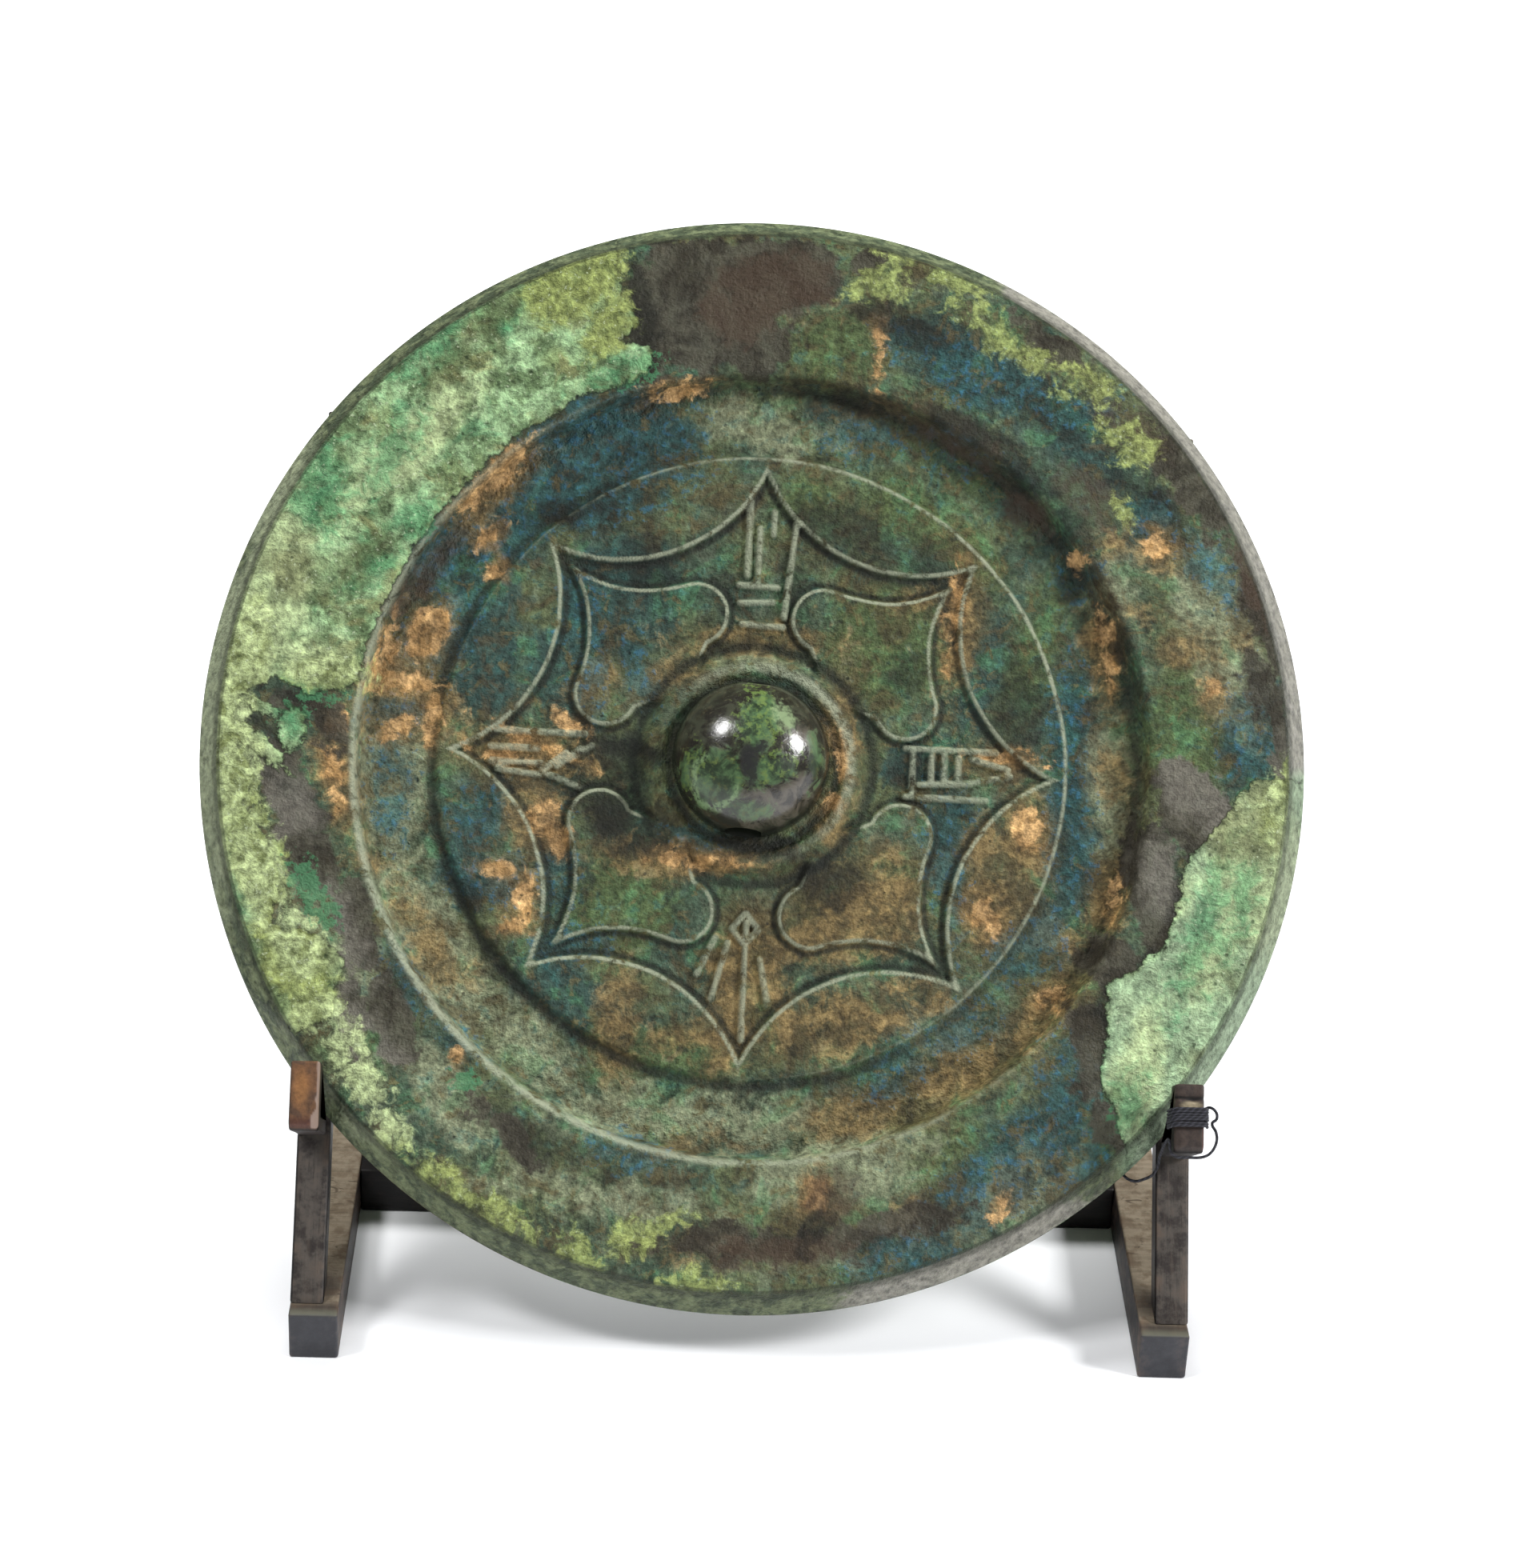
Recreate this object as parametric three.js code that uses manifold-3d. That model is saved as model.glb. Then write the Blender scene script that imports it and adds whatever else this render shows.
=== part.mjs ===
// A bronze mirror with an eight-pointed star, leaning on a low wooden cradle.
// Millimetres, +Z up. X runs along the cradle's width and Y from its feet to its back.
// The origin is on the floor, at the middle of the whole object's outline seen from above.

import * as THREE from 'three';
import { mergeVertices } from 'three/addons/utils/BufferGeometryUtils.js';
import Module from 'manifold-3d';

const wasm = await Module();
wasm.setup();

// ---------------------------------------------------------------- driving sizes

const CRADLE = {
  width: 151.2, // over the outer sides of the rails
  depth: 118, // length of a rail
  railWidth: 8.2,
  railHeight: 8.7,
  lean: THREE.MathUtils.degToRad(35.8), // of the uprights, from the vertical
  footShelf: 3.05, // rail top left bare in front of an upright
  uprightWidth: 5.6,
  uprightDepth: 5,
  uprightLength: 153.8, // along its front face
  barFront: 43.6, // crossbar's front face, behind the feet
  barDepth: 8,
  braceDepth: 7,
  braceTop: 138, // where a brace meets its upright, along the upright
  braceInset: 2, // from the rail's rear end
};

const LIP = {
  width: 4.8,
  height: 28.3, // underside, along the upright from its foot
  reach: 16.2, // in front of the upright
  armThickness: 2.9,
  tipHeight: 11.45, // from the underside
  tipDepth: 5,
  chamfer: 1.1,
};

const MIRROR = {
  radius: 95, // of the reflecting face
  edgeLip: 0.7, // straight part of the edge, next to the reflecting face
  frontRadius: 91.1, // of the decorated face, inside the slanted edge
  thickness: 6.2, // at the rim
  centreHeight: 94.94, // along the uprights, from their feet
  offCentre: [-0.3, -1.7], // of the pattern, from the middle of the disc
  turn: THREE.MathUtils.degToRad(-1.4), // of the pattern
};

const RELIEF = {
  rimInner: 68.3, // rim's inner edge, at the top of its slope
  bandOuter: 66.2, // hollow band, at the foot of that slope
  bandInner: 55.0,
  fieldRadius: 54.0,
  fieldTop: 3.1,
  groundTop: 2.2, // floor of the star
  bandEdge: 2.2,
  bandMiddle: 1.75,
  strokeTop: 2.9,
};

const STAR = {
  tipRadius: 50.7,
  valleyRadius: 39.2,
  points: 8,
  arcSteps: 14,
};

const PANEL = {
  tip: 47, // sharp corner, along the panel's own axis
  waist: [36.3, 2.5], // pull of the hollow flank
  lobe: [26, 10.4], // centre of a round lobe
  lobeRadius: 5.7,
  inner: 17, // inner side, under the boss's seat
};

const BOSS = {
  seatFoot: 19.6,
  seatShoulder: 18.2,
  seatInner: 15.4,
  seatTop: 3.9,
  radius: 14,
  base: 3.4,
  height: 10.3,
  tunnelWidth: 6,
  tunnelHeight: 3.8,
  tunnelFloor: 3.7,
  tunnelTurn: THREE.MathUtils.degToRad(-3.5), // from the pattern's own axis
};

const THREAD = {
  diameter: 0.5,
  sides: 8,
  stepLength: 1.2,
  turnsBottom: 32.4, // wound stretch, along the upright
  turnsTop: 36.1,
  sleeve: 0.6, // thickness of the wound turns
  corner: 0.5, // cut off the sleeve's corners
};

const GAP = 0.3; // left between pieces that rest on or are wound round each other
const ROUND_STEPS = 120;
const BOSS_STEPS = 64;

const HALF_WIDTH = CRADLE.width / 2;
const UPRIGHT_INNER = HALF_WIDTH - CRADLE.uprightWidth;
const LIP_INNER = HALF_WIDTH - LIP.width;
const RAIL_INNER = HALF_WIDTH - CRADLE.railWidth;
const FRONT = -CRADLE.depth / 2;

// ---------------------------------------------------------------- materials

const bronze = new THREE.MeshStandardMaterial({ color: '#4c5f4a', roughness: 0.62, metalness: 0.35 });
const stainedWood = new THREE.MeshStandardMaterial({ color: '#3a312b', roughness: 0.6, metalness: 0 });
const lipWood = new THREE.MeshStandardMaterial({ color: '#6d5140', roughness: 0.65, metalness: 0 });
const blackThread = new THREE.MeshStandardMaterial({ color: '#17161a', roughness: 0.9, metalness: 0 });

// ---------------------------------------------------------------- solids

// A closed geometry as a manifold solid: positions are merged and flat triangles dropped.
function solidOf(geometry) {
  const bare = geometry.clone();
  bare.deleteAttribute('normal');
  bare.deleteAttribute('uv');
  const merged = mergeVertices(bare, 1e-4);
  const index = merged.index.array;
  const kept = [];
  for (let i = 0; i < index.length; i += 3) {
    const [a, b, c] = [index[i], index[i + 1], index[i + 2]];
    if (a !== b && b !== c && c !== a) kept.push(a, b, c);
  }
  return new wasm.Manifold(new wasm.Mesh({
    numProp: 3,
    vertProperties: Float32Array.from(merged.attributes.position.array),
    triVerts: Uint32Array.from(kept),
  }));
}

function geometryOf(solid) {
  const mesh = solid.getMesh();
  const geometry = new THREE.BufferGeometry();
  geometry.setAttribute('position', new THREE.BufferAttribute(Float32Array.from(mesh.vertProperties), 3));
  geometry.setIndex(new THREE.BufferAttribute(Uint32Array.from(mesh.triVerts), 1));
  geometry.computeVertexNormals();
  return geometry;
}

// A profile of [radius, height] pairs, from axis to axis, turned about Z.
function turned(profile, steps) {
  const points = profile.map(([r, z]) => new THREE.Vector2(r, z));
  return new THREE.LatheGeometry(points, steps).rotateX(Math.PI / 2);
}

// A shape in the XY plane raised from one height to another.
function raised(shape, bottom, top) {
  const geometry = new THREE.ExtrudeGeometry(shape, { depth: top - bottom, bevelEnabled: false, curveSegments: 6 });
  return geometry.translate(0, 0, bottom);
}

// A side outline of [y, z] pairs, extruded along X between two planes.
function sawn(outline, x0, x1) {
  const shape = new THREE.Shape(outline.map(([y, z]) => new THREE.Vector2(y, z)));
  const geometry = new THREE.ExtrudeGeometry(shape, { depth: x1 - x0, bevelEnabled: false });
  const axes = new THREE.Matrix4().makeBasis(
    new THREE.Vector3(0, 1, 0),
    new THREE.Vector3(0, 0, 1),
    new THREE.Vector3(1, 0, 0),
  );
  return geometry.applyMatrix4(axes).translate(x0, 0, 0);
}

function named(name, geometry, material) {
  const mesh = new THREE.Mesh(geometry, material);
  mesh.name = name;
  return mesh;
}

// A point of an upright's side view: along its front face, and out from that face.
function onUpright(along, out) {
  const y = FRONT + CRADLE.footShelf + along * Math.sin(CRADLE.lean) - out * Math.cos(CRADLE.lean);
  const z = CRADLE.railHeight + along * Math.cos(CRADLE.lean) + out * Math.sin(CRADLE.lean);
  return [y, z];
}

// ---------------------------------------------------------------- cradle

function rail(side) {
  const outline = [
    [FRONT, 0],
    [FRONT + CRADLE.depth, 0],
    [FRONT + CRADLE.depth, CRADLE.railHeight],
    [FRONT, CRADLE.railHeight],
  ];
  const [x0, x1] = side < 0 ? [-HALF_WIDTH, -RAIL_INNER] : [RAIL_INNER, HALF_WIDTH];
  return sawn(outline, x0, x1);
}

function uprightSpan(side) {
  return side < 0 ? [-HALF_WIDTH, -UPRIGHT_INNER] : [UPRIGHT_INNER, HALF_WIDTH];
}

// The upright's foot is cut level on the rail, and its top square to its length.
function upright(side) {
  const heelDepth = CRADLE.uprightDepth / Math.cos(CRADLE.lean);
  const [footY, footZ] = onUpright(0, 0);
  const outline = [
    [footY, footZ],
    [footY + heelDepth, footZ],
    onUpright(CRADLE.uprightLength, -CRADLE.uprightDepth),
    onUpright(CRADLE.uprightLength, 0),
  ];
  return sawn(outline, ...uprightSpan(side));
}

// The rear leg stands on the rail's end and is cut to the upright's back.
function brace(side) {
  const rear = FRONT + CRADLE.depth - CRADLE.braceInset;
  const outline = [
    [rear - CRADLE.braceDepth, CRADLE.railHeight],
    [rear, CRADLE.railHeight],
    onUpright(CRADLE.braceTop, -CRADLE.uprightDepth),
    onUpright(CRADLE.braceTop - CRADLE.braceDepth / Math.sin(CRADLE.lean), -CRADLE.uprightDepth),
  ];
  return sawn(outline, ...uprightSpan(side));
}

// A flat arm with an upturned tip; the mirror's edge sits in the hook behind the tip.
function lip(side) {
  const top = LIP.height + LIP.armThickness;
  const tipTop = LIP.height + LIP.tipHeight;
  const heel = LIP.reach - LIP.tipDepth;
  const outline = [
    onUpright(LIP.height, 0),
    onUpright(LIP.height, LIP.reach - LIP.chamfer),
    onUpright(LIP.height + LIP.chamfer, LIP.reach),
    onUpright(tipTop - LIP.chamfer / 2, LIP.reach),
    onUpright(tipTop, LIP.reach - LIP.chamfer / 2),
    onUpright(tipTop, heel),
    onUpright(top, heel),
    onUpright(top, 0),
  ];
  const [x0, x1] = side < 0 ? [-HALF_WIDTH, -LIP_INNER] : [LIP_INNER, HALF_WIDTH];
  return sawn(outline.reverse(), x0, x1);
}

function crossbar() {
  const y0 = FRONT + CRADLE.barFront;
  const outline = [
    [y0, 0],
    [y0 + CRADLE.barDepth, 0],
    [y0 + CRADLE.barDepth, CRADLE.railHeight],
    [y0, CRADLE.railHeight],
  ];
  return sawn(outline, -RAIL_INNER, RAIL_INNER);
}

// ---------------------------------------------------------------- mirror

function polar(radius, angle) {
  return new THREE.Vector2(radius * Math.cos(angle), radius * Math.sin(angle));
}

// The disc without its pattern: a flat reflecting face, a slanted edge and a flat front.
function blank() {
  return solidOf(turned([
    [0, 0],
    [MIRROR.radius, 0],
    [MIRROR.radius, MIRROR.edgeLip],
    [MIRROR.frontRadius, MIRROR.thickness],
    [0, MIRROR.thickness],
  ], ROUND_STEPS));
}

// What is sunk below the rim: the rim's inner slope, the hollow band and the field's step.
function sunkArea() {
  const above = MIRROR.thickness + 2;
  const profile = [[0, RELIEF.fieldTop], [RELIEF.fieldRadius, RELIEF.fieldTop]];
  const steps = 4;
  for (let i = 0; i <= steps; i++) {
    const t = i / steps;
    const hollow = (RELIEF.bandEdge - RELIEF.bandMiddle) * Math.sin(Math.PI * t);
    profile.push([RELIEF.bandInner + t * (RELIEF.bandOuter - RELIEF.bandInner), RELIEF.bandEdge - hollow]);
  }
  profile.push([RELIEF.rimInner, MIRROR.thickness], [RELIEF.rimInner, above], [0, above]);
  return solidOf(turned(profile, ROUND_STEPS));
}

// The star's outline: hollow arcs from tip to tip.
function starShape() {
  const half = Math.PI / STAR.points;
  const chordHalf = STAR.tipRadius * Math.sin(half);
  const sag = STAR.tipRadius * Math.cos(half) - STAR.valleyRadius;
  const arcRadius = (chordHalf ** 2 + sag ** 2) / (2 * sag);
  const arcCentre = STAR.valleyRadius + arcRadius;
  const sweep = Math.asin(chordHalf / arcRadius);
  const points = [];
  for (let k = 0; k < STAR.points; k++) {
    const centreAngle = (2 * k + 1) * half;
    const centre = polar(arcCentre, centreAngle);
    for (let i = 0; i < STAR.arcSteps; i++) {
      const angle = centreAngle + Math.PI + sweep * (1 - (2 * i) / STAR.arcSteps);
      points.push(polar(arcRadius, angle).add(centre));
    }
  }
  return new THREE.Shape(points);
}

// One panel of the field, between two petals: a shield with two round lobes and a sharp corner.
function panelPath() {
  const lobeStart = Math.atan2(12.3 - PANEL.lobe[1], 31.4 - PANEL.lobe[0]);
  const lobeEnd = Math.PI * 1.12;
  const path = new THREE.Path();
  path.moveTo(PANEL.tip, 0);
  path.quadraticCurveTo(...PANEL.waist,
    PANEL.lobe[0] + PANEL.lobeRadius * Math.cos(lobeStart),
    PANEL.lobe[1] + PANEL.lobeRadius * Math.sin(lobeStart));
  path.absarc(...PANEL.lobe, PANEL.lobeRadius, lobeStart, lobeEnd, false);
  path.lineTo(PANEL.inner, 0);
  path.absarc(PANEL.lobe[0], -PANEL.lobe[1], PANEL.lobeRadius, -lobeEnd, -lobeStart, false);
  path.quadraticCurveTo(PANEL.waist[0], -PANEL.waist[1], PANEL.tip, 0);
  return path;
}

// The sunken ground of the star, with the four panels left standing in it.
function starCut() {
  const shape = starShape();
  for (let k = 0; k < 4; k++) {
    const angle = Math.PI / 4 + (k * Math.PI) / 2;
    const turnedPoints = panelPath().getPoints(6).map((p) => p.rotateAround(new THREE.Vector2(), angle));
    turnedPoints.pop();
    shape.holes.push(new THREE.Path(turnedPoints));
  }
  return solidOf(raised(shape, RELIEF.groundTop, RELIEF.fieldTop + 1));
}

// One shallow stroke: a bar along a petal's axis (along) or across it, by its middle point.
function stroke(along, across, length, width, tilt) {
  const bar = new THREE.BoxGeometry(length, width, RELIEF.strokeTop - RELIEF.groundTop + 0.4);
  bar.rotateZ(tilt);
  bar.translate(along, across, (RELIEF.strokeTop + RELIEF.groundTop - 0.4) / 2);
  return bar;
}

// The rows of strokes in a petal: long ones run along it and short ones stand across.
const PETAL_ROWS = [
  { angle: 0, long: [[33.8, 4.3, 15.5], [33.2, -4.1, 14]], crossFrom: 28.6, crossStep: 3.1, crossCount: 4, cross: 4.6 },
  { angle: 90, long: [[40, 2.6, 13.5], [36.6, 0.5, 9], [35.6, -4.9, 16]], crossFrom: 24.4, crossStep: 3.4, crossCount: 3, cross: 6.2 },
  { angle: 180, long: [[36.8, -3.8, 15], [42, -0.9, 6], [40.6, 1.7, 8.2], [40, 3.4, 7.2]], crossFrom: 29, crossStep: 3.2, crossCount: 3, cross: 4.4 },
  { angle: 270, long: [[38.4, 0.3, 17.5], [35, -3.6, 11], [36, 3.8, 10]], crossFrom: 24.8, crossStep: 2.8, crossCount: 2, cross: 3.4 },
];

function petalStrokes(row) {
  const bars = row.long.map(([along, across, length]) => stroke(along, across, length, 0.9, 0));
  for (let i = 0; i < row.crossCount; i++) {
    bars.push(stroke(row.crossFrom + i * row.crossStep, -0.3, 1.0, row.cross, 0.12));
  }
  return bars.map((bar) => solidOf(bar.rotateZ(THREE.MathUtils.degToRad(row.angle))));
}

// The round seat and the domed boss on it.
function bossBody() {
  const profile = [
    [0, RELIEF.groundTop - 0.8],
    [BOSS.seatFoot, RELIEF.groundTop - 0.8],
    [BOSS.seatFoot, RELIEF.groundTop + 0.3],
    [BOSS.seatShoulder, BOSS.seatTop],
    [BOSS.seatInner, BOSS.seatTop],
    [BOSS.radius, BOSS.base],
  ];
  const rings = 9;
  for (let i = 1; i < rings; i++) {
    const angle = (i / rings) * (Math.PI / 2);
    profile.push([BOSS.radius * Math.cos(angle), BOSS.base + BOSS.height * Math.sin(angle)]);
  }
  profile.push([0, BOSS.base + BOSS.height]);
  return solidOf(turned(profile, BOSS_STEPS));
}

// The tunnel for the mirror's cord: a low arch, right through the boss.
function cordTunnel() {
  const half = BOSS.tunnelWidth / 2;
  const spring = BOSS.tunnelHeight * 0.45;
  const arch = new THREE.Shape();
  arch.moveTo(-half, 0);
  arch.lineTo(half, 0);
  arch.lineTo(half, spring);
  arch.absellipse(0, spring, half, BOSS.tunnelHeight - spring, 0, Math.PI, false, 0);
  const length = 2 * BOSS.seatFoot;
  const geometry = new THREE.ExtrudeGeometry(arch, { depth: length, bevelEnabled: false, curveSegments: 8 });
  geometry.translate(0, 0, -length / 2);
  geometry.rotateX(Math.PI / 2);
  geometry.rotateZ(BOSS.tunnelTurn);
  return solidOf(geometry.translate(0, 0, BOSS.tunnelFloor));
}

function bronzeMirror() {
  const place = (solid) => solid.rotate([0, 0, THREE.MathUtils.radToDeg(MIRROR.turn)]).translate([...MIRROR.offCentre, 0]);
  let disc = blank().subtract(place(sunkArea())).subtract(place(starCut()));
  disc = disc.add(place(bossBody()));
  for (const row of PETAL_ROWS) {
    for (const bar of petalStrokes(row)) disc = disc.add(place(bar));
  }
  return geometryOf(disc.subtract(place(cordTunnel())));
}

// ---------------------------------------------------------------- thread

// The outer shape of the wound turns: a sleeve round the right lip's tip, in the leaning frame.
function threadWinding() {
  const outline = (grow, PathType) => {
    const [x0, x1] = [LIP_INNER - grow, HALF_WIDTH + grow];
    const [w0, w1] = [LIP.reach - LIP.tipDepth - grow, LIP.reach + grow];
    const c = Math.min(grow, THREAD.corner);
    const corners = [
      [x0, w0 + c], [x0, w1 - c], [x0 + c, w1], [x1 - c, w1],
      [x1, w1 - c], [x1, w0 + c], [x1 - c, w0], [x0 + c, w0],
    ];
    return new PathType(corners.map(([x, w]) => new THREE.Vector2(x, -w)));
  };
  const shape = outline(GAP + THREAD.sleeve, THREE.Shape);
  shape.holes.push(outline(GAP, THREE.Path));
  return raised(shape, THREAD.turnsBottom, THREAD.turnsTop).rotateX(-Math.PI / 2);
}

// The free thread in the leaning frame: two loops beside the lip, a pass under it, and the tail.
const THREAD_ROUTE = [
  [76.95, 36.1, 14.0], [77.6, 35.7, 14.2], [78.0, 34.9, 14.4], [77.9, 34.1, 14.4], [77.25, 33.6, 14.2],
  [77.3, 33.0, 14.2], [77.75, 32.3, 14.3], [78.0, 31.2, 14.4], [77.85, 30.1, 14.5], [77.3, 29.0, 14.6],
  [76.5, 28.2, 14.7], [75.2, 27.75, 14.8], [73.2, 27.7, 14.8], [71.3, 27.75, 14.7], [70.3, 28.5, 14.5],
  [70.2, 29.8, 14.0], [70.2, 30.7, 12.4], [70.2, 30.4, 9.6], [70.2, 29.5, 6.0], [70.2, 28.2, 2.6],
  [70.1, 26.5, 0.9], [69.3, 25.2, 0.5], [68.0, 24.5, 0.2], [66.5, 24.1, 0.0], [65.0, 24.6, -0.3],
  [63.9, 26.1, -0.55], [63.4, 28.2, -0.6],
];

// A tube of the thread's own thickness along a smooth line through the route's points.
function freeThread() {
  const route = new THREE.CatmullRomCurve3(THREAD_ROUTE.map((p) => new THREE.Vector3(...p)));
  const corners = [];
  for (let i = 0; i < THREAD.sides; i++) {
    corners.push(polar(THREAD.diameter / 2, (2 * Math.PI * i) / THREAD.sides));
  }
  const steps = Math.round(route.getLength() / THREAD.stepLength);
  return new THREE.ExtrudeGeometry(new THREE.Shape(corners), { steps, extrudePath: route, bevelEnabled: false });
}

// ---------------------------------------------------------------- the whole object

const object = new THREE.Group();
for (const [side, word] of [[-1, 'left'], [1, 'right']]) {
  object.add(named(`${word}_rail`, rail(side), stainedWood));
  object.add(named(`${word}_upright`, upright(side), stainedWood));
  object.add(named(`${word}_brace`, brace(side), stainedWood));
  object.add(named(`${word}_lip`, lip(side), lipWood));
}
object.add(named('crossbar', crossbar(), stainedWood));

// The leaning frame: X across, Y up along the uprights, Z out from their front faces.
const leaning = new THREE.Group();
const [footY, footZ] = onUpright(0, 0);
leaning.position.set(0, footY, footZ);
leaning.rotation.x = Math.PI / 2 - CRADLE.lean;
object.add(leaning);

const mirror = named('bronze_mirror', bronzeMirror(), bronze);
mirror.position.set(0, MIRROR.centreHeight, GAP);
leaning.add(mirror);
leaning.add(named('thread_winding', threadWinding(), blackThread));
leaning.add(named('thread_free', freeThread(), blackThread));

export default object;
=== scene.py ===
"""Dresses an old bronze mirror and the small wooden cradle that it leans on.

Run as a script: it loads the frame and makes every piece in the frame's own place. Sizes are in millimetres
in the functions and become metres when a mesh is made.
"""

import math
from itertools import accumulate
from types import SimpleNamespace

import bpy
import numpy as np
from bpy.props import FloatProperty, FloatVectorProperty, IntProperty, PointerProperty
from mathutils import Matrix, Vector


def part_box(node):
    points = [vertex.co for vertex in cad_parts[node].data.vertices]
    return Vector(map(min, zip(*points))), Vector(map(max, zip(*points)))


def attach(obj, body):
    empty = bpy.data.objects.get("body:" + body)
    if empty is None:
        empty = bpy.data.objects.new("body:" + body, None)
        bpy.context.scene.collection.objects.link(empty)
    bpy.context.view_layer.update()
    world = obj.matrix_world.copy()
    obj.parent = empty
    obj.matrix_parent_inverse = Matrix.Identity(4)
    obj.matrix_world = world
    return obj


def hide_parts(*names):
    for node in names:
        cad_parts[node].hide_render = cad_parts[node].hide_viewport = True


bl_info = {
    "name": "Bronze mirror on its cradle",
    "version": (1, 0, 0),
    "blender": (4, 5, 0),
    "location": "View3D > Sidebar > Mirror",
    "description": "Makes a patinated bronze mirror, its wooden cradle and the thread on it",
    "category": "Object",
}

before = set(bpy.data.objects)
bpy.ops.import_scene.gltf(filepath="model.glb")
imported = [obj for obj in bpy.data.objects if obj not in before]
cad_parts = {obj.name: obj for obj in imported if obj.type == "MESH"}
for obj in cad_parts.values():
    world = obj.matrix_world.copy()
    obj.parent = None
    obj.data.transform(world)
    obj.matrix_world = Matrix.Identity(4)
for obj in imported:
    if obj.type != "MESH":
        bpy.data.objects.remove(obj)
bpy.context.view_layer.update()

MM = 0.001


def box_mm(node):
    """The lowest and highest corner of a CAD node, in millimetres."""
    low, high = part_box(node)
    return np.array(low) / MM, np.array(high) / MM


# ------------------------------------------------------------------ places taken from the frame

UPRIGHT_LOW, UPRIGHT_HIGH = box_mm("right_upright")
RAIL_LOW, RAIL_HIGH = box_mm("right_rail")
LIP_LOW, LIP_HIGH = box_mm("right_lip")
MIRROR_LOW, MIRROR_HIGH = box_mm("bronze_mirror")
BAR_LOW, BAR_HIGH = box_mm("crossbar")

LEAN = math.radians(35.8)
UPRIGHT_LENGTH = 153.8
UPRIGHT_DEPTH = 5.0
BRACE_DEPTH = 7.0
BRACE_TOP = 138.0
BRACE_INSET = 2.0
FOOT = np.array([0.0, UPRIGHT_LOW[1], UPRIGHT_LOW[2]])
MIRROR_CENTRE = 94.94
MIRROR_GAP = 0.3
DISC_RADIUS = (MIRROR_HIGH[0] - MIRROR_LOW[0]) / 2

ALONG = np.array([0.0, math.sin(LEAN), math.cos(LEAN)])
OUT = np.array([0.0, -math.cos(LEAN), math.sin(LEAN)])
ACROSS = np.array([1.0, 0.0, 0.0])


def leaning(x, v, w):
    """Row-frame points in mm for x across, v up along the uprights and w out from their front faces."""
    x, v, w = np.broadcast_arrays(x, v, w)
    return FOOT + x[..., None] * ACROSS + v[..., None] * ALONG + w[..., None] * OUT


# ------------------------------------------------------------------ sizes and colours that a user may change


def length(name, description, default):
    """A size in millimetres, as a property."""
    return FloatProperty(name=name, description=description, default=default, min=0.0)


def srgb(code):
    """An sRGB hex colour as linear red, green, blue and alpha."""
    parts = [int(code[i : i + 2], 16) / 255 for i in (1, 3, 5)]
    lin = [c / 12.92 if c <= 0.04045 else ((c + 0.055) / 1.055) ** 2.4 for c in parts]
    return (*lin, 1.0)


def colour(name, description, code):
    """A colour property whose default is an sRGB hex value."""
    return FloatVectorProperty(
        name=name, description=description, default=srgb(code), size=4, min=0.0, max=1.0, subtype="COLOR"
    )


class MirrorSizes(bpy.types.PropertyGroup):
    """Sizes of the cast mirror, in millimetres from its reflecting back."""

    rim_height: length("Rim height", "Thickness of the mirror at its rim, mm", 6.2)
    front_radius: length("Front radius", "Radius of the decorated face, inside the slanted edge, mm", 91.1)
    rim_inner: length("Rim inner radius", "Where the rim starts to slope down, mm", 68.3)
    band_outer: length("Band outer radius", "Foot of the rim's slope, mm", 66.2)
    field_radius: length("Field radius", "Edge of the raised field, mm", 54.0)
    field_height: length("Field height", "Height of the raised field, mm", 3.1)
    ground_height: length("Ground height", "Height of the sunken star, mm", 2.2)
    stroke_height: length("Stroke height", "Height of the strokes in the petals, mm", 2.95)
    star_valley: length("Star valley radius", "Nearest point of a star arc to the boss, mm", 39.2)
    star_tip: length("Star tip radius", "Radius of the star's points, mm", 50.7)
    boss_radius: length("Boss radius", "Radius of the domed boss, mm", 13.5)
    boss_base: length("Boss base", "Height of the dome's foot, mm", 3.4)
    boss_height: length("Boss height", "Height of the dome above its foot, mm", 10.3)
    turn: FloatProperty(name="Pattern turn", description="Turn of the cast pattern",
                        default=math.radians(-1.4), subtype="ANGLE", unit="ROTATION")
    around: IntProperty(name="Steps around", description="Mesh columns around the disc", default=540, min=48)


class PatinaColours(bpy.types.PropertyGroup):
    """Colours of the bronze and of what grew on it in the ground."""

    olive: colour("Olive", "Old oxide on the raised panels", "#455430")
    teal: colour("Teal", "Dark blue-green oxide", "#233c39")
    grey: colour("Grey green", "Dusty oxide on the bands", "#757b60")
    # Dirt in pits, also used for painted shade in corners, in hollows and at the boss's foot.
    pit_and_shade: colour("Pits", "Dirt in pits and corners", "#161b14")
    blue: colour("Azurite", "Blue carbonate", "#1b3b3c")
    tan: colour("Ochre", "Ochre earth stuck to the bronze", "#ad8b5d")
    bare: colour("Bare bronze", "Smooth dark bronze where the crust has gone", "#2f2b23")
    # Rubbed edges of the relief, also painted highlight on the edges that face the lights.
    worn_and_lit: colour("Worn edge", "Rubbed edges of the relief", "#929881")
    mint: colour("Mint crust", "Pale malachite crust", "#8fad80")
    leaf: colour("Leaf green crust", "Saturated malachite", "#3f7650")
    lime: colour("Yellow-green crust", "Yellow-green crust", "#79834b")
    chalk: colour("Chalky crust", "Palest grains of the crust", "#c3cfae")


class CradleSizes(bpy.types.PropertyGroup):
    """Sizes of the cradle's timber, in millimetres."""

    softening: length("Edge softening", "Radius worn on the timber's edges, mm", 0.45)
    waviness: length("Waviness", "How far a planed face strays, mm", 0.07)


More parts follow.
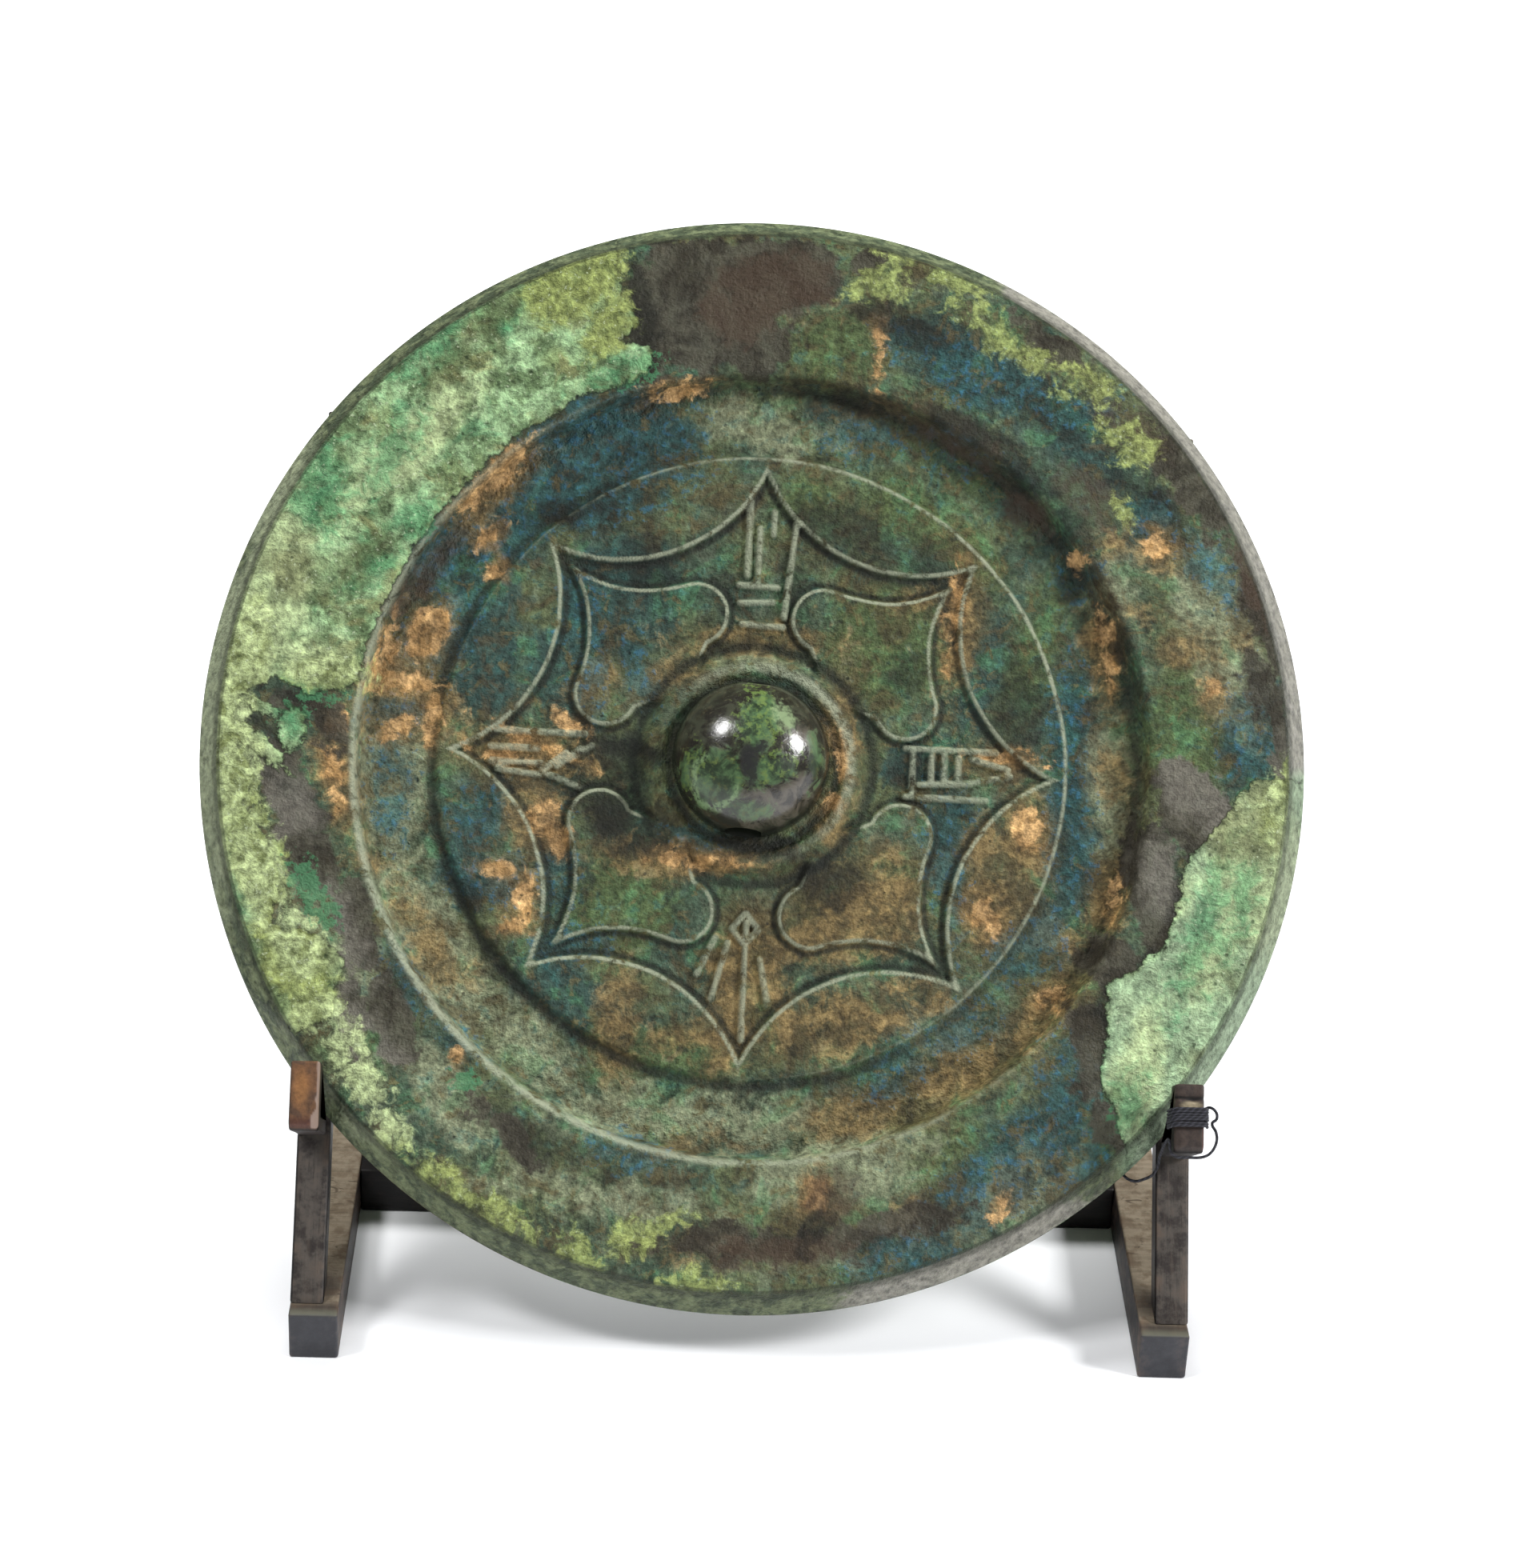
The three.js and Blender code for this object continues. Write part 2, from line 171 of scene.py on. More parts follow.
class WoodColours(bpy.types.PropertyGroup):
    """Colours of the cradle."""

    stain: colour("Stain", "Dark stained faces", "#2c2725")
    deep: colour("Deep grain", "Pores and cracks", "#1d1a19")
    grey: colour("Greyed ends", "Front ends of the rails", "#37383d")
    raw: colour("Rubbed faces", "Faces where the stain has rubbed off", "#7f7463")
    end_grain: colour("Left lip", "End grain of the left lip", "#5c412d")
    dark_lip: colour("Right lip", "End grain of the right lip", "#3a302b")


class ThreadSizes(bpy.types.PropertyGroup):
    """Sizes of the black thread."""

    diameter: length("Diameter", "Thickness of the thread, mm", 0.5)
    turns: IntProperty(name="Turns", description="Turns wound round the lip", default=7, min=1)
    colour: colour("Thread", "Black sewing thread", "#1b1b20")


# ------------------------------------------------------------------ numbers that every piece shares


def fade(t):
    """A smooth step from 0 to 1: three t squared minus two t cubed, held outside."""
    t = np.clip(t, 0.0, 1.0)
    return t * t * (3 - 2 * t)


def step_in(depth, width):
    """0 outside an edge and 1 inside it, by a smooth step of that width across it."""
    return fade(depth / width + 0.5)


def bell(distance, width):
    """1 on a line and less beside it: the exponential of minus the square of distance over width."""
    return np.exp(-((distance / width) ** 2))


def lattice_noise(x, y, size, seed):
    """Random heights from -1 to 1 on a square lattice of that spacing, joined by smooth steps."""
    table = np.random.default_rng(seed).uniform(-1, 1, (256, 256))
    u, v = x / size + 500.3, y / size + 500.7
    i, j = np.floor(u).astype(int), np.floor(v).astype(int)
    a, b = fade(u - i), fade(v - j)
    i, j = i % 255, j % 255
    low = table[i, j] * (1 - a) + table[i + 1, j] * a
    high = table[i, j + 1] * (1 - a) + table[i + 1, j + 1] * a
    return low * (1 - b) + high * b


def rough_noise(x, y, size, seed, octaves=4):
    """Lattice noise summed over octaves, each half as large and 0.55 as strong as the one before."""
    total, weight = np.zeros_like(x), 0.0
    for k in range(octaves):
        total = total + lattice_noise(x, y, size / 2**k, seed + k) * 0.55**k
        weight += 0.55**k
    return total / weight


# The least depth in mm that spots and strokes give.
FAR = -6.0


def turned(x, y, angle):
    """Points turned about the origin."""
    c, s = math.cos(angle), math.sin(angle)
    return x * c - y * s, x * s + y * c


def depth_in_outline(x, y, corners):
    """How far each point lies inside a closed outline, in mm: the least distance to its sides, and less than
    0 outside."""
    corners = np.array(corners, float)
    least = np.full(x.shape, np.inf)
    inside = np.zeros(x.shape, bool)
    for (ax, ay), (bx, by) in zip(corners, np.roll(corners, -1, 0)):
        ux, uy = bx - ax, by - ay
        t = np.clip(((x - ax) * ux + (y - ay) * uy) / (ux * ux + uy * uy), 0, 1)
        least = np.minimum(least, np.hypot(x - ax - t * ux, y - ay - t * uy))
        inside ^= ((ay > y) != (by > y)) & (x < (bx - ax) * (y - ay) / (by - ay + 1e-12) + ax)
    return np.where(inside, least, -least)


def depth_in_spots(x, y, spots):
    """How far each point lies inside the nearest of some oval spots (x, y, half length, half width, turn), in
    mm, and never less than FAR."""
    deepest = np.full(x.shape, FAR)
    for sx, sy, a, b, turn in spots:
        u, v = turned(x - sx, y - sy, -math.radians(turn))
        deepest = np.maximum(deepest, (1 - np.hypot(u / a, v / b)) * min(a, b))
    return deepest


# ------------------------------------------------------------------ meshes


def smooth_where_gentle(mesh, degrees):
    """Shades a mesh smooth, except along edges whose faces meet at more than an angle."""
    mesh.polygons.foreach_set("use_smooth", np.ones(len(mesh.polygons), bool))
    mesh.set_sharp_from_angle(angle=math.radians(degrees))


def make_piece(name, points_mm, faces, material, smooth_deg=40):
    """A mesh object at the origin from points in mm in the row frame, smooth where its faces meet gently."""
    mesh = bpy.data.meshes.new(name)
    mesh.from_pydata((np.asarray(points_mm) * MM).tolist(), [], faces)
    mesh.validate()
    smooth_where_gentle(mesh, smooth_deg)
    mesh.update()
    piece = bpy.data.objects.new(name, mesh)
    bpy.context.collection.objects.link(piece)
    mesh.materials.append(material)
    return piece


def grid_faces(rings, columns):
    """Four-sided faces between closed rings that follow one another."""
    r, c = np.meshgrid(np.arange(rings - 1) * columns, np.arange(columns), indexing="ij")
    n = (c + 1) % columns
    return np.stack([r + c, r + n, r + columns + n, r + columns + c], -1).reshape(-1, 4)


def fan(centre, ring, flipped):
    """Three-sided faces from a pole to a closed ring."""
    n = np.roll(ring, -1)
    middle = np.full(len(ring), centre)
    return np.stack([middle, n, ring] if flipped else [middle, ring, n], -1)


def capped(rings, columns, flipped=False):
    """Faces of a closed shape made of rings, with a pole before the first ring and one after the last. The
    two poles follow the rings' points. Its faces turn the other way when it is flipped."""
    ring, poles = np.arange(columns), rings * columns
    sides = grid_faces(rings, columns)
    caps = [fan(poles, ring, not flipped), fan(poles + 1, ring + poles - columns, flipped)]
    return (sides[:, ::-1] if flipped else sides).tolist() + np.concatenate(caps).tolist()


def store(mesh, name, values):
    """Keeps one number for each point of a mesh, for its material to read."""
    attribute = mesh.attributes.new(name, "FLOAT", "POINT")
    attribute.data.foreach_set("value", np.asarray(values, np.float32))


def points_of(mesh):
    """The mesh's points in mm in the row frame."""
    flat = np.empty(len(mesh.vertices) * 3, np.float32)
    mesh.vertices.foreach_get("co", flat)
    return flat.reshape(-1, 3).astype(float) / MM


def finish_piece(piece, slot_name, *nodes):
    """Rides the piece on the frame and hides the CAD nodes that it stands for; slot_name is not used."""
    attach(piece, "root")
    if nodes:
        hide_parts(*nodes)
    return piece


# ------------------------------------------------------------------ nodes of a material


def add(tree, kind, inputs=(), out=0, **settings):
    """Adds one node and gives back one of its outputs. inputs maps its sockets to values or to other nodes'
    outputs, and settings are the node's own."""
    made = tree.nodes.new(kind)
    for key, value in settings.items():
        setattr(made, key, value)
    for socket, value in dict(inputs).items():
        if isinstance(value, bpy.types.NodeSocket):
            tree.links.new(value, made.inputs[socket])
        else:
            made.inputs[socket].default_value = value
    return made.outputs[out]


def blank_material(name):
    """A new material with a Principled shader: returns the material, its node tree and the shader."""
    material = bpy.data.materials.new(name)
    material.use_nodes = True
    tree = material.node_tree
    return material, tree, tree.nodes["Principled BSDF"]


def millimetres(tree):
    """Object coordinates in millimetres."""
    place = add(tree, "ShaderNodeTexCoord", out="Object")
    return add(tree, "ShaderNodeVectorMath", {0: place, "Scale": 1 / MM}, operation="SCALE")


def growth(tree, name, ragged, reach, soft=0.6, cap=8.0):
    """How strongly something has grown at a point, 0 to 1: its stored depth, held to a cap so that it also
    breaks up inside, plus noise of that reach in mm, over a border of that softness."""
    depth = add(tree, "ShaderNodeAttribute", attribute_name=name, out="Fac")
    held = add(tree, "ShaderNodeMath", {0: depth, 1: cap}, operation="MINIMUM")
    stray = add(tree, "ShaderNodeMath", {0: ragged, 1: -0.5}, operation="ADD")
    moved = add(tree, "ShaderNodeMath", {0: stray, 1: reach, 2: held}, operation="MULTIPLY_ADD")
    return add(tree, "ShaderNodeMapRange", {"Value": moved, "From Min": -soft, "From Max": soft},
               interpolation_type="SMOOTHSTEP")


def coat(tree, below, top, value, low=0.0, high=1.0, most=1.0, where=None):
    """Lays a colour over the one below, by none where a value is at low and by most where it is at high, and
    only where another value allows it."""
    amount = add(tree, "ShaderNodeMapRange",
                 {"Value": value, "From Min": low, "From Max": high, "To Max": most},
                 interpolation_type="SMOOTHSTEP")
    if where is not None:
        amount = add(tree, "ShaderNodeMath", {0: amount, 1: where}, operation="MULTIPLY")
    return add(tree, "ShaderNodeMix", {0: amount, 6: below, 7: top}, out=2, data_type="RGBA")


def coats(tree, below, *layers):
    """Lays coats one over another, each given as (colour, value, low, high, most, where), as in coat."""
    for layer in layers:
        below = coat(tree, below, *layer)
    return below


def mottle(tree, tone, *curves):
    """Darkens and lightens a colour by one value after another: each curve is a value and its (value, factor)
    points, joined by straight lines."""
    for value, points in curves:
        factor = None
        for (v0, f0), (v1, f1) in zip(points[:-1], points[1:]):
            part = add(tree, "ShaderNodeMapRange", {"Value": value, "From Min": v0, "From Max": v1,
                                                    "To Min": 0.0, "To Max": f1 - f0})
            if factor is not None:
                part = add(tree, "ShaderNodeMath", {0: factor, 1: part}, operation="ADD")
            factor = part
        factor = add(tree, "ShaderNodeMath", {0: factor, 1: points[0][1]}, operation="ADD")
        tone = tone if isinstance(tone, bpy.types.NodeSocket) else tuple(tone)[:3]
        tone = add(tree, "ShaderNodeVectorMath", {0: tone, "Scale": factor}, operation="SCALE")
    return tone


# ------------------------------------------------------------------ the cast pattern

PATTERN_CENTRE = np.array([-0.3, -1.7])
BOSS_CENTRE = PATTERN_CENTRE + [-0.4, 0.8]
# The shield-shaped panels, in mm with s along the axis from the centre and t across: the sharp corner, the
# flank's bend, where it joins the lobe, the lobe's middle and radius, and the inner end.
PANEL_TIP = 47.0
PANEL_WAIST = (36.3, 2.5)
PANEL_JOIN = (31.4, 12.3)
PANEL_LOBE = (26.0, 10.4, 5.7)
PANEL_INNER = 17.0


def panel_outline():
    """The shield between two petals, with s along its axis and t across: a hollow flank that runs as a
    quadratic curve from the sharp corner to a round lobe, the lobe's arc, and the mirror image of both."""
    s0, t0, lobe = PANEL_LOBE
    start = math.atan2(PANEL_JOIN[1] - t0, PANEL_JOIN[0] - s0)
    arc = np.linspace(start, math.pi * 1.12, 16)
    k = np.linspace(0, 1, 9)[:-1]
    join = (s0 + lobe * math.cos(start), t0 + lobe * math.sin(start))
    flank_s = (1 - k) ** 2 * PANEL_TIP + 2 * k * (1 - k) * PANEL_WAIST[0] + k**2 * join[0]
    flank_t = 2 * k * (1 - k) * PANEL_WAIST[1] + k**2 * join[1]
    s = np.concatenate([flank_s, s0 + lobe * np.cos(arc)])
    t = np.concatenate([flank_t, t0 + lobe * np.sin(arc)])
    return np.concatenate([np.stack([s, t], -1), [[PANEL_INNER, 0]], np.stack([s, -t], -1)[:0:-1]])


def depth_in_star(x, y, sizes):
    """How far a point lies inside the star: its distance from the nearest arc's centre, less the arc's
    radius."""
    half = math.pi / 8
    chord = sizes.star_tip * math.sin(half)
    sag = sizes.star_tip * math.cos(half) - sizes.star_valley
    arc = (chord**2 + sag**2) / (2 * sag)
    r, angle = np.hypot(x, y), np.arctan2(y, x)
    folded = np.mod(angle, 2 * half) - half
    return np.hypot(r * np.cos(folded) - sizes.star_valley - arc, r * np.sin(folded)) - arc


# Strokes in a petal: (along the petal, across it, length, turn in degrees), each about a millimetre wide.
PETAL_STROKES = {
    0: [(33.8, 4.3, 15.5, 0), (33.2, -4.1, 14, 0), (40.6, 2.2, 6.5, -14), (40.8, -0.4, 7, 12),
        (27.4, 0, 8.2, 90), (30.6, 1.2, 4, 90), (32.8, 1.2, 4, 90), (35.2, 1.4, 3.4, 90), (33, -1.6, 9, 4)],
    90: [(40, 2.6, 14, 0), (36.6, 0.7, 9.5, 0), (34.4, -4.8, 17, -5), (31.2, 0.6, 6.6, 88),
         (28.3, 0.8, 5.6, 94), (24.3, -0.4, 7, 88), (42.4, -1.6, 4, 0)],
    180: [(36.8, -3.8, 15.6, 0), (41, -0.9, 8, 0), (40.6, 1.6, 8.4, 0), (40, 3.3, 7.4, -6),
          (31.6, 0.4, 5, 40), (34, 1.2, 5, 40), (29.6, -0.6, 4.6, 34), (32.4, 4.4, 6, -20)],
    270: [(37.2, 0.2, 20, 0), (35.6, -4.0, 10, -14), (37.2, 3.6, 8, 12), (27.0, 1.2, 3.4, 40),
          (27.0, -1.2, 3.4, -40), (29.6, -1.2, 3.4, 40), (29.6, 1.2, 3.4, -40), (33.2, -6.4, 7, -24)],
}
STROKE_WIDTH = 1.15


def depth_in_strokes(x, y):
    """How far a point lies inside the nearest stroke: half the width less its distance from the stroke's
    line."""
    deepest = np.full(x.shape, FAR)
    for petal, strokes in PETAL_STROKES.items():
        u, v = turned(x, y, -math.radians(petal))
        for along, across, size, turn in strokes:
            p, q = turned(u - along, v - across, -math.radians(turn))
            beyond = np.maximum(np.abs(p) - size / 2, 0)
            deepest = np.maximum(deepest, STROKE_WIDTH / 2 - np.hypot(beyond, q))
    return deepest


# How far the band sags between the field and the rim, in mm, and the side that faces the lights, which sets
# where edge lines get painted highlight and where corners get painted shade.
BAND_HOLLOW = 0.45
LIT_SIDE = math.radians(35)

# The boss's round seat: radii in mm from its middle, and how much of the seat's height stands there.
SEAT_RADII = [0, 14.0, 15.0, 15.8, 17.4, 18.4, 19.2, 20.2]
SEAT_SHARES = [0, 0, 0.55, 1, 1, 0.72, 0.3, 0]
SEAT_HEIGHT = 3.95


def cast_surface(x, y, sizes):
    """Height of the decorated face in mm, and how strongly each point takes a pale edge line or painted
    shade.

    Outside in: level rim, slope, hollow band, step up to the field, sunken star with raised panels and
    strokes, and the boss's seat. Every step is a smooth step 0.5 to 0.9 mm wide. The pale edge lines stand
    for
    wear and for painted highlight: the field's edge and the seat's are palest on the side that faces the
    lights, and the rim's on the far side, where its slope faces them. Painted shade lies in the corners: at
    the foot of the star, the panels and the seat, most along the half of the field's foot turned from the
    lights, and along the rim's foot where its slope is turned from them."""
    px, py = turned(x - PATTERN_CENTRE[0], y - PATTERN_CENTRE[1], -sizes.turn)
    r, angle = np.hypot(px, py), np.arctan2(py, px)
    stray = rough_noise(x, y, 5, 11, 3) * 0.16
    slope = fade((r + stray - sizes.band_outer) / (sizes.rim_inner - sizes.band_outer))
    across = np.clip((r - sizes.field_radius - 1) / (sizes.band_outer - sizes.field_radius - 1), 0, 1)
    band = sizes.ground_height - BAND_HOLLOW * np.sin(math.pi * across)
    field_step = fade((sizes.field_radius + 0.45 - r - stray) / 0.9)
    star = depth_in_star(px, py, sizes) + stray
    diagonal = np.mod(angle, math.pi / 2) - math.pi / 4
    panel = depth_in_outline(r * np.cos(diagonal), r * np.sin(diagonal), panel_outline()) - stray
    stroke = depth_in_strokes(px, py) - stray * 0.6
    sunk = step_in(star, 0.8) * (1 - step_in(panel, 0.8))
    field = sizes.field_height + (sizes.ground_height - sizes.field_height) * sunk
    raised = step_in(stroke, 0.5) * sunk
    field = field + (sizes.stroke_height - sizes.ground_height) * raised
    seat = fade(np.interp(r, SEAT_RADII, SEAT_SHARES))
    field = field * (1 - seat) + seat * np.maximum(field, SEAT_HEIGHT)
    field = np.where(r < SEAT_RADII[2], np.maximum(field, sizes.boss_base), field)
    height = band + (field - band) * field_step
    height = height + (sizes.rim_height - height) * slope
    # How far each point lies towards the lights: it weights painted highlight on edges and painted shade in
    # corners.
    side = np.cos(angle - LIT_SIDE)
    in_field = r < sizes.field_radius - 1
    # Pale edge lines: wear, and painted highlight strongest on the edges that face the lights.
    edge = np.maximum.reduce([
        bell(r + stray - sizes.field_radius + 0.35, 0.5) * (0.62 + 0.38 * side),
        bell(star + 0.45, 0.45) * in_field,
        bell(panel - 0.4, 0.42) * fade((r - 20) / 2),
        bell(stroke - 0.35, 0.5) * sunk * 0.8,
        bell(r - 16.8, 1.3) * (0.55 + 0.3 * side),
        bell(r + stray - sizes.rim_inner + 0.2, 0.9) * (0.55 - 0.45 * side),
    ])
    # Painted shade in the corners of the relief.
    corner = np.maximum.reduce([
        bell(r + stray - sizes.field_radius - 1.1, 1.1) * np.clip(0.7 - 0.6 * side, 0, 1),
        bell(star - 0.6, 0.7) * in_field,
        bell(panel + 0.6, 0.6) * fade((r - 18) / 2),
        bell(r - 20.6, 1.2),
        bell(r - 14.4, 0.9),
        bell(r - sizes.band_outer + 0.2, 1.5) * np.clip(0.3 + 0.6 * side, 0, 1),
    ])
    return height, edge, corner


# ------------------------------------------------------------------ what grew on the bronze
#
# Outlines and oval spots in mm on the decorated face: x to the right, y up, from the disc's middle.
# A spot is (x, y, half length, half width, turn in degrees).

UPPER_CRUST = [(-33, 92), (-26, 90), (-25, 80), (-22.5, 76), (-25, 71.5), (-20, 70.5), (-19, 68), (-21, 65),
               (-26, 62.5), (-33, 60.5), (-41, 55), (-48, 48.5), (-54, 42), (-60, 33), (-64, 25), (-66.5, 16),
               (-68, 10), (-76, 8), (-82, 11), (-86, 8), (-88, 2), (-87, -3), (-85, -8), (-86, -12),
               (-82, -18), (-80, -24), (-81, -31), (-72, -33), (-68, -38), (-71, -47), (-76, -50), (-92, -36),
               (-104, 0), (-84, 62), (-52, 92)]
LOWER_CRUST = [(96, -2), (86, -3), (82, -7), (79, -11), (75, -15), (73, -22), (71, -30), (66, -36), (61, -39),
               (60, -46), (60, -55), (62, -63), (65, -69), (72, -66), (90, -44), (100, -20)]
RIDGES = [(-83.5, 5.4, 3.2, 1.2, -28), (-84.4, -1.2, 7.0, 1.6, -34), (-78.6, 1.8, 2.2, 3.8, 8)]
OCHRE_SPOTS = [(-46, 47, 7, 1.9, 45), (-46.5, 37, 3.0, 1.3, 50), (-45, 31, 1.8, 1.2, 20),
               (-57, 20, 3.4, 4.4, -15), (-63, 12.2, 7, 1.5, -10), (-66, 10.2, 6, 0.9, 0),
               (-55.5, 5, 1.2, 4.4, 0), (-63, 17, 1.5, 4, 0), (-61, 3, 3, 1.6, 30), (-71.5, 3, 1.8, 2.4, 0),
               (-71.5, -5, 1.3, 4.6, 10), (-15, 63.4, 4.4, 1.0, 10), (-44, -1.4, 4.4, 1.1, -10),
               (-38, 1, 5, 0.8, -25), (-33, 5, 3, 1.2, -30), (-35, -12, 3, 3.4, 20), (-33, -15, 1.8, 3, 0),
               (-38.5, -25, 1.6, 2.6, 0), (-43, -21, 2.4, 1.1, 0), (-40, -30.5, 2.4, 1.0, 20),
               (-49, -53, 1.2, 1.2, 0), (68, 38.5, 2.0, 2.4, 0), (55.2, 35.4, 1.5, 1.4, 0),
               (60, 24, 1.6, 3.4, 10), (61, 17.5, 1.2, 2.4, 0), (47, -11, 2.4, 3.4, 0),
               (40, -27, 2.0, 3.2, 20), (19.6, 71, 0.8, 4.6, 0), (43, 0.6, 4.6, 0.9, 0),
               (33.6, 26, 0.9, 6, -6), (-7, -18.5, 4, 1.2, -5), (14, -8, 1.6, 1.4, 0), (15, 1, 0.9, 4.0, 8),
               (-14, -17.5, 3.2, 1.2, 0), (62, -22, 1.2, 3.6, -15), (78.5, 14, 1.7, 1.2, 40),
               (12, -75, 1.8, 2.6, 0), (43, -76, 1.3, 2.2, -20), (52, -40.5, 2.4, 1.4, 40)]
# Spots where the slanted edge is rubbed grey and also painted lighter as a highlight; all lie on the right,
# towards the right lamp.
POLISH_AND_HIGHLIGHT_EDGE = [(84, 34, 48, 16, -68), (84, -42, 34, 14, 62), (40, -86, 26, 8, 24), (60, 74, 30, 10, -50)]
